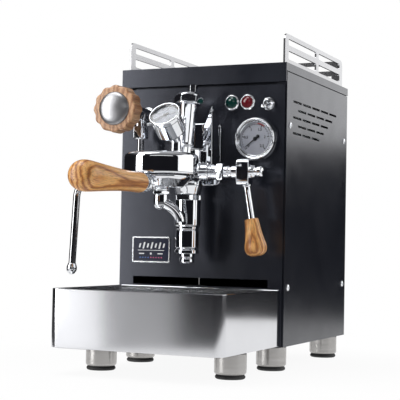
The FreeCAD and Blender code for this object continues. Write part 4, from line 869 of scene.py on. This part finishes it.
def make_filter_holder():
    """Filter holder: bowl with lugs, neck, stepped ferrule and wooden handle."""
    bowl_low, rim = 230.6, 257.9
    outline = [(0, bowl_low - 3.9), (9.6, bowl_low - 3.9), (9.9, bowl_low - 1.6), (13, bowl_low - 0.6),
        (24.4, bowl_low), (27.6, bowl_low + 1.5), (35.2, 241.1), (36.4, 243.3), (36.4, 245.4), (35, 246.2),
        (35, rim - 0.4), (34.6, rim), (30.2, rim), (30.2, bowl_low + 4.5), (0, bowl_low + 4.5)]
    bowl = (lathe(outline, 0.8), at(0, SEAL.y))
    lugs = [skin([section(oblong((left, SEAL.y - 6), (left + 3.6, SEAL.y + 6), (1.2,) * 4), z)
                  for z in (250.6, 255)]) for left in (33.8, -37.4)]
    neck_y = SEAL.y - 31.5
    handle_z = 234.2
    neck = (lathe([(0, 0), (8.6, 0), (7.6, 2.4), (7, 4.6), (7, 8.5), (0, 8.5)], 0.8, 56),
        at(0, neck_y, handle_z, FRONT))
    chromed("filter_holder_bowl", merged(bowl, neck, *lugs), "filter_holder",
        stands_for=["portafilter_body"], sharp=40)
    start = span("portafilter_ferrule")[1].y
    ferrule = [(0, 0), (9, 0), (10.4, 1.2), (10.6, 3.2), (9.6, 5), (8.6, 6), (8.6, 8.8), (10.2, 9.8),
        (11.7, 11.4), (11.8, 13), (11.8, 15.7), (0, 15.7)]
    chromed("filter_holder_ferrule", lathe(ferrule, 0.5, 72), "filter_holder",
        facing((0, start, handle_z), FRONT), ["portafilter_ferrule"])
    low, high, _ = span("portafilter_handle")
    long = high.y - low.y
    wood = [(11.6, 0.4), (12.1, 2), (12.2, 8), (12, 22), (12.5, 44), (13.9, 72), (15.9, 102),
        (17.4, 124), (17.3, 134), (15.2, 141), (10.4, 145.6), (4.6, long - 0.1)]
    outline = [(0, 0.1), *flowing(wood, 6), (0, long)]
    piece("filter_holder_handle", lathe(outline, 0), "filter_holder", WOOD, "wood",
        facing((0, high.y, handle_z), FRONT), ["portafilter_handle"], sharp=60)


def make_spout():
    """Single curved spout: nut, round-bottomed body, and a chute turned down at its tip."""
    tip_z = span("portafilter_spout")[0].z + 1.6
    body = [(0, 203.5), (3.4, 203.9), (6.6, 206), (8.6, 209.2), (9, 213.1), (9, 222.5), (0, 222.5)]
    body = (lathe(body, 0.6, 64), at(0, SEAL.y))
    ring = (nut(9.9, 222.6, 226.6), at(0, SEAL.y))
    line = flowing([(0, SEAL.y, 213.6), (7, SEAL.y + 2, 210.2), (14.4, SEAL.y + 4.2, 205.4),
        (19.8, SEAL.y + 5.8, 199.4), (22.9, SEAL.y + 6.7, 193.2), (24, SEAL.y + 7, tip_z)], 7)
    radii = [6.9 - 1.6 * k / (len(line) - 1) for k in range(len(line))]
    chute = sweep(line, radii, 40)
    chromed("filter_holder_spout", merged(body, ring, chute), "filter_holder",
        stands_for=["portafilter_spout"], sharp=40)


# ---- steam side

def make_steam_valve():
    """Steam valve: stem, scalloped wooden knob with a domed metal cap, bonnet nut, and the wand's joint."""
    low, high, _ = span("steam_knob")
    axis_x, axis_z = pivots["steam_knob_turn"].x, pivots["steam_knob_turn"].z
    valve = [(4.1, -20), (6.2, -20), (6.2, 0), (12.4, 0.05), (12.4, 1.6), (10.4, 2.2), (10.2, 5),
        (10.2, 33.5), (10.9, 35.5), (10.9, 38.2), (4.1, 38.2)]
    bonnet = [(4.1, 50), (9.4, 50), (9, 51.4), (7, 52), (4.1, 52)]
    wand_x, wand_y = pivots["wand_swing"].x, pivots["wand_swing"].y
    hang = [(4.6, 300.4), (8.2, 300.4), (8.6, 301.4), (8.6, 303), (0, 303)]
    drop = [(0, 306), (8.6, 306), (8.6, 309), (8, 310), (8, 322), (8.6, 326), (8.6, 334), (0, 334)]
    stem, down = at(axis_x, 0, axis_z, FRONT), at(wand_x, wand_y)
    body = merged((lathe(valve, 0.5, 72, loop=True), stem), (nut(10.3, 38, 50.2), stem),
        (lathe(bonnet, 0.3, 64, loop=True), stem), (lathe(drop, 0.5, 64), down),
        (nut(9.8, 301.6, 318), down), (lathe(hang, 0.3, 64), down))
    chromed("steam_valve", body, "machine", stands_for=["steam_valve_body"], sharp=40)
    thick, radius, depth = high.y - low.y, (high.z - low.z) / 2, 2
    steps = [(14, 0), (5, 0), (2.2, 0.5), (0.7, 1.6), (0, 3.6), (0, thick - 2.6), (0.4, thick - 1.2),
        (1.3, thick - 0.3), (2.6, thick), (14, thick)]
    knob = stack(lambda inset: lobed(radius - inset, depth * (1 - inset / 16), 12), steps)
    piece("steam_knob_wood", knob, "steam_handwheel", KNOB_WOOD, "wood",
        facing((axis_x, high.y, axis_z), FRONT), ["steam_knob"], sharp=70)
    cap_low, cap_high, _ = span("steam_knob_cap")
    rise, cap_r = cap_high.y - cap_low.y, (cap_high.z - cap_low.z) / 2
    dome = [(0, -0.4), (cap_r, -0.4), (cap_r, 0.5), (cap_r - 0.5, 1.3)]
    dome += [(cap_r * cos(a) - 0.9 * cos(a), 1.4 + (rise - 1.4) * sin(a))
             for a in [pi / 2 * k / 14 for k in range(1, 15)]]
    piece("steam_knob_plate", lathe(dome, 0), "steam_handwheel", TURNED, "steel_polished",
        facing((axis_x, cap_high.y, axis_z), FRONT), ["steam_knob_cap"], sharp=60)


def make_wand():
    """Steam wand with smooth bends, and its tip, whose holes are black discs of painted shade."""
    top = span("steam_wand")[1].z
    joint = pivots["wand_swing"]
    path = bent([(joint.x, joint.y, top), (joint.x, joint.y, joint.z - 40), (-111.5, -130, 238),
        (-117, -130, 134)], 24, 18)
    piece("steam_wand_tube", sweep(path, [4.5] * len(path), 40), "wand", TUBE, "chrome",
        stands_for=["steam_wand"], sharp=60)
    tip = [(0, -1), (4.9, -1), (5.3, 0.3), (6.5, 3.8), (6.5, 6.4), (6, 9), (3.8, 12.2), (1.8, 13.2),
        (0, 13.4)]
    # The holes are not cut: four black discs sit on the tip as painted shade where its openings are.
    hole = [(0, 0), (0.9, 0), (0.9, 0.25), (0, 0.25)]
    hole_shades = [(lathe(hole, 0, 16), at(3.9 * cos(a), 3.9 * sin(a), 11.5, (cos(a), sin(a), 1.1)))
             for a in [tau * k / 4 for k in range(4)]]
    place = facing(path[-1], path[-1] - path[-2])
    chromed("steam_tip_nozzle", lathe(tip, 0.6, 56), "wand", place, ["steam_tip"], sharp=60)
    piece("steam_tip_hole_shades", merged(*hole_shades), "wand", INK_AND_SHADE, "chrome", place)


# ---- studio

def softbox(name, place, target, wide, tall, power):
    """A soft rectangular light that faces a target; metres and watts."""
    light = bpy.data.lights.new(name, "AREA")
    light.shape = "RECTANGLE"
    light.size, light.size_y = wide, tall
    light.energy = power
    item = bpy.data.objects.new(name, light)
    link(item)
    item.location = place
    item.rotation_euler = (Vector(target) - Vector(place)).to_track_quat("-Z", "Y").to_euler()


def make_floor():
    """Pale round floor that fades to plain white away from the object."""
    middle = (cad_low + cad_high) / 2
    floor_mesh = bpy.data.meshes.new("floor")
    sheet = bmesh.new()
    bmesh.ops.create_circle(sheet, cap_ends=True, segments=96, radius=0.84, matrix=Matrix.Translation((0.27,
        0.21, 0)))
    sheet.to_mesh(floor_mesh)
    sheet.free()
    floor = bpy.data.objects.new("floor", floor_mesh)
    floor.location = (middle.x, middle.y, cad_low.z)
    link(floor)
    look, tree, shader = new_finish("pale_floor", Specular_IOR_Level=0.2)
    cloud = grain(tree, FULL, 3)
    tree.links.new(ramp(tree, cloud, (0.3, (0.9, 0.9, 0.9)), (0.7, (0.93, 0.93, 0.93))),
        shader.inputs["Base Color"])
    tree.links.new(spread(tree, cloud, 0.6, 0.7), shader.inputs["Roughness"])
    place = wire(tree, "TexCoord")
    far = wire(tree, "VectorMath", {"operation": "LENGTH"})
    tree.links.new(place.outputs["Object"], far.inputs[0])
    glow = wire(tree, "Emission", Color=(1, 1, 1, 1))
    edge = wire(tree, "MapRange", {"interpolation_type": "SMOOTHSTEP"}, Value=far.outputs["Value"],
        From_Min=0.2, From_Max=0.5, To_Min=0.93, To_Max=1)
    both = wire(tree, "MixShader", Fac=edge.outputs["Result"])
    tree.links.new(shader.outputs["BSDF"], both.inputs[1])
    tree.links.new(glow.outputs["Emission"], both.inputs[2])
    tree.links.new(both.outputs["Shader"], tree.nodes["Material Output"].inputs["Surface"])
    floor_mesh.materials.append(look)


# Name, place and target in metres, width and height in metres, watts.
LIGHTS = (
    ("left_front", (-1.11, -1.2, 0.62), (0, -0.05, 0.28), 0.62, 1.35, 17),
    ("right_wall", (1.38, 0.39, 0.62), (0, -0.05, 0.3), 1.85, 1.1, 8.6),
    ("over_camera", (0.8, -1.75, 0.8), (0, -0.05, 0.31), 2.6, 0.34, 3.4),
    ("right_high", (0.63, 1.33, 0.82), (0, 0, 0.3), 1.2, 0.82, 5.1),
    ("low_left", (-1.09, -1.44, -0.12), (0, -0.18, 0.05), 0.62, 0.45, 1.1),
    ("low_left_edge", (-0.68, -1.52, -0.12), (0, -0.18, 0.05), 0.18, 0.45, 0.1),
    ("top", (-0.5, -0.55, 1.5), (0, 0, 0.2), 1.1, 0.9, 15),
)


def make_room():
    """A room that is white behind the object and dim where it is reflected."""
    world = bpy.data.worlds.new("room")
    bpy.context.scene.world = world
    world.use_nodes = True
    tree = world.node_tree
    tree.nodes.clear()
    seen = wire(tree, "LightPath")
    sky = wire(tree, "TexCoord")
    parts = wire(tree, "SeparateXYZ", Vector=sky.outputs["Generated"])
    shade = ramp(tree, spread(tree, parts.outputs["Z"], 0, 1, -0.3, 1), (0, (0.3, 0.3, 0.31)),
        (0.21, (0.008, 0.008, 0.01)), (0.55, (0.015, 0.015, 0.018)), (1, (0.5, 0.5, 0.51)))
    dim = wire(tree, "Background", Color=shade)
    white = wire(tree, "Background", Color=(1, 1, 1, 1))
    mix = wire(tree, "MixShader", Fac=seen.outputs["Is Camera Ray"])
    tree.links.new(dim.outputs["Background"], mix.inputs[1])
    tree.links.new(white.outputs["Background"], mix.inputs[2])
    wire(tree, "OutputWorld", Surface=mix.outputs["Shader"])
    bpy.context.scene.view_settings.view_transform = "Standard"


CAMERA_SPOT = (0.6308, -1.3812, 0.1611)
AZIMUTH, PITCH, ROLL = radians(24.55), radians(2.25), radians(1.12)
LENS = 102.87


def make_camera():
    """A long-lens view from the front right, a little below the object's middle."""
    data = bpy.data.cameras.new("camera")
    data.lens, data.sensor_width = LENS, 36
    data.clip_start, data.clip_end = 0.05, 50
    camera = bpy.data.objects.new("camera", data)
    link(camera)
    ahead = Vector((-sin(AZIMUTH) * cos(PITCH), cos(AZIMUTH) * cos(PITCH), sin(PITCH)))
    level = Vector((cos(AZIMUTH), sin(AZIMUTH), 0))
    above = level.cross(ahead)
    across = level * cos(ROLL) + above * sin(ROLL)
    over = above * cos(ROLL) - level * sin(ROLL)
    turn = Matrix((across, over, -ahead)).transposed().to_4x4()
    camera.matrix_world = Matrix.Translation(CAMERA_SPOT) @ turn
    bpy.context.scene.camera = camera


finish_nodes()
for make in (make_feet, make_screws, make_tray, make_nameplate, make_lamps, make_switch, make_boiler_gauge,
    make_group_gauge, make_bell, make_neck, make_column, make_cheeks, make_upper_chamber,
    make_lower_chamber, make_gauge_adapter, make_lever, make_filter_holder, make_spout, make_steam_valve,
    make_wand):
    make()
make_floor()
for light in LIGHTS:
    softbox(*light)
make_room()
make_camera()
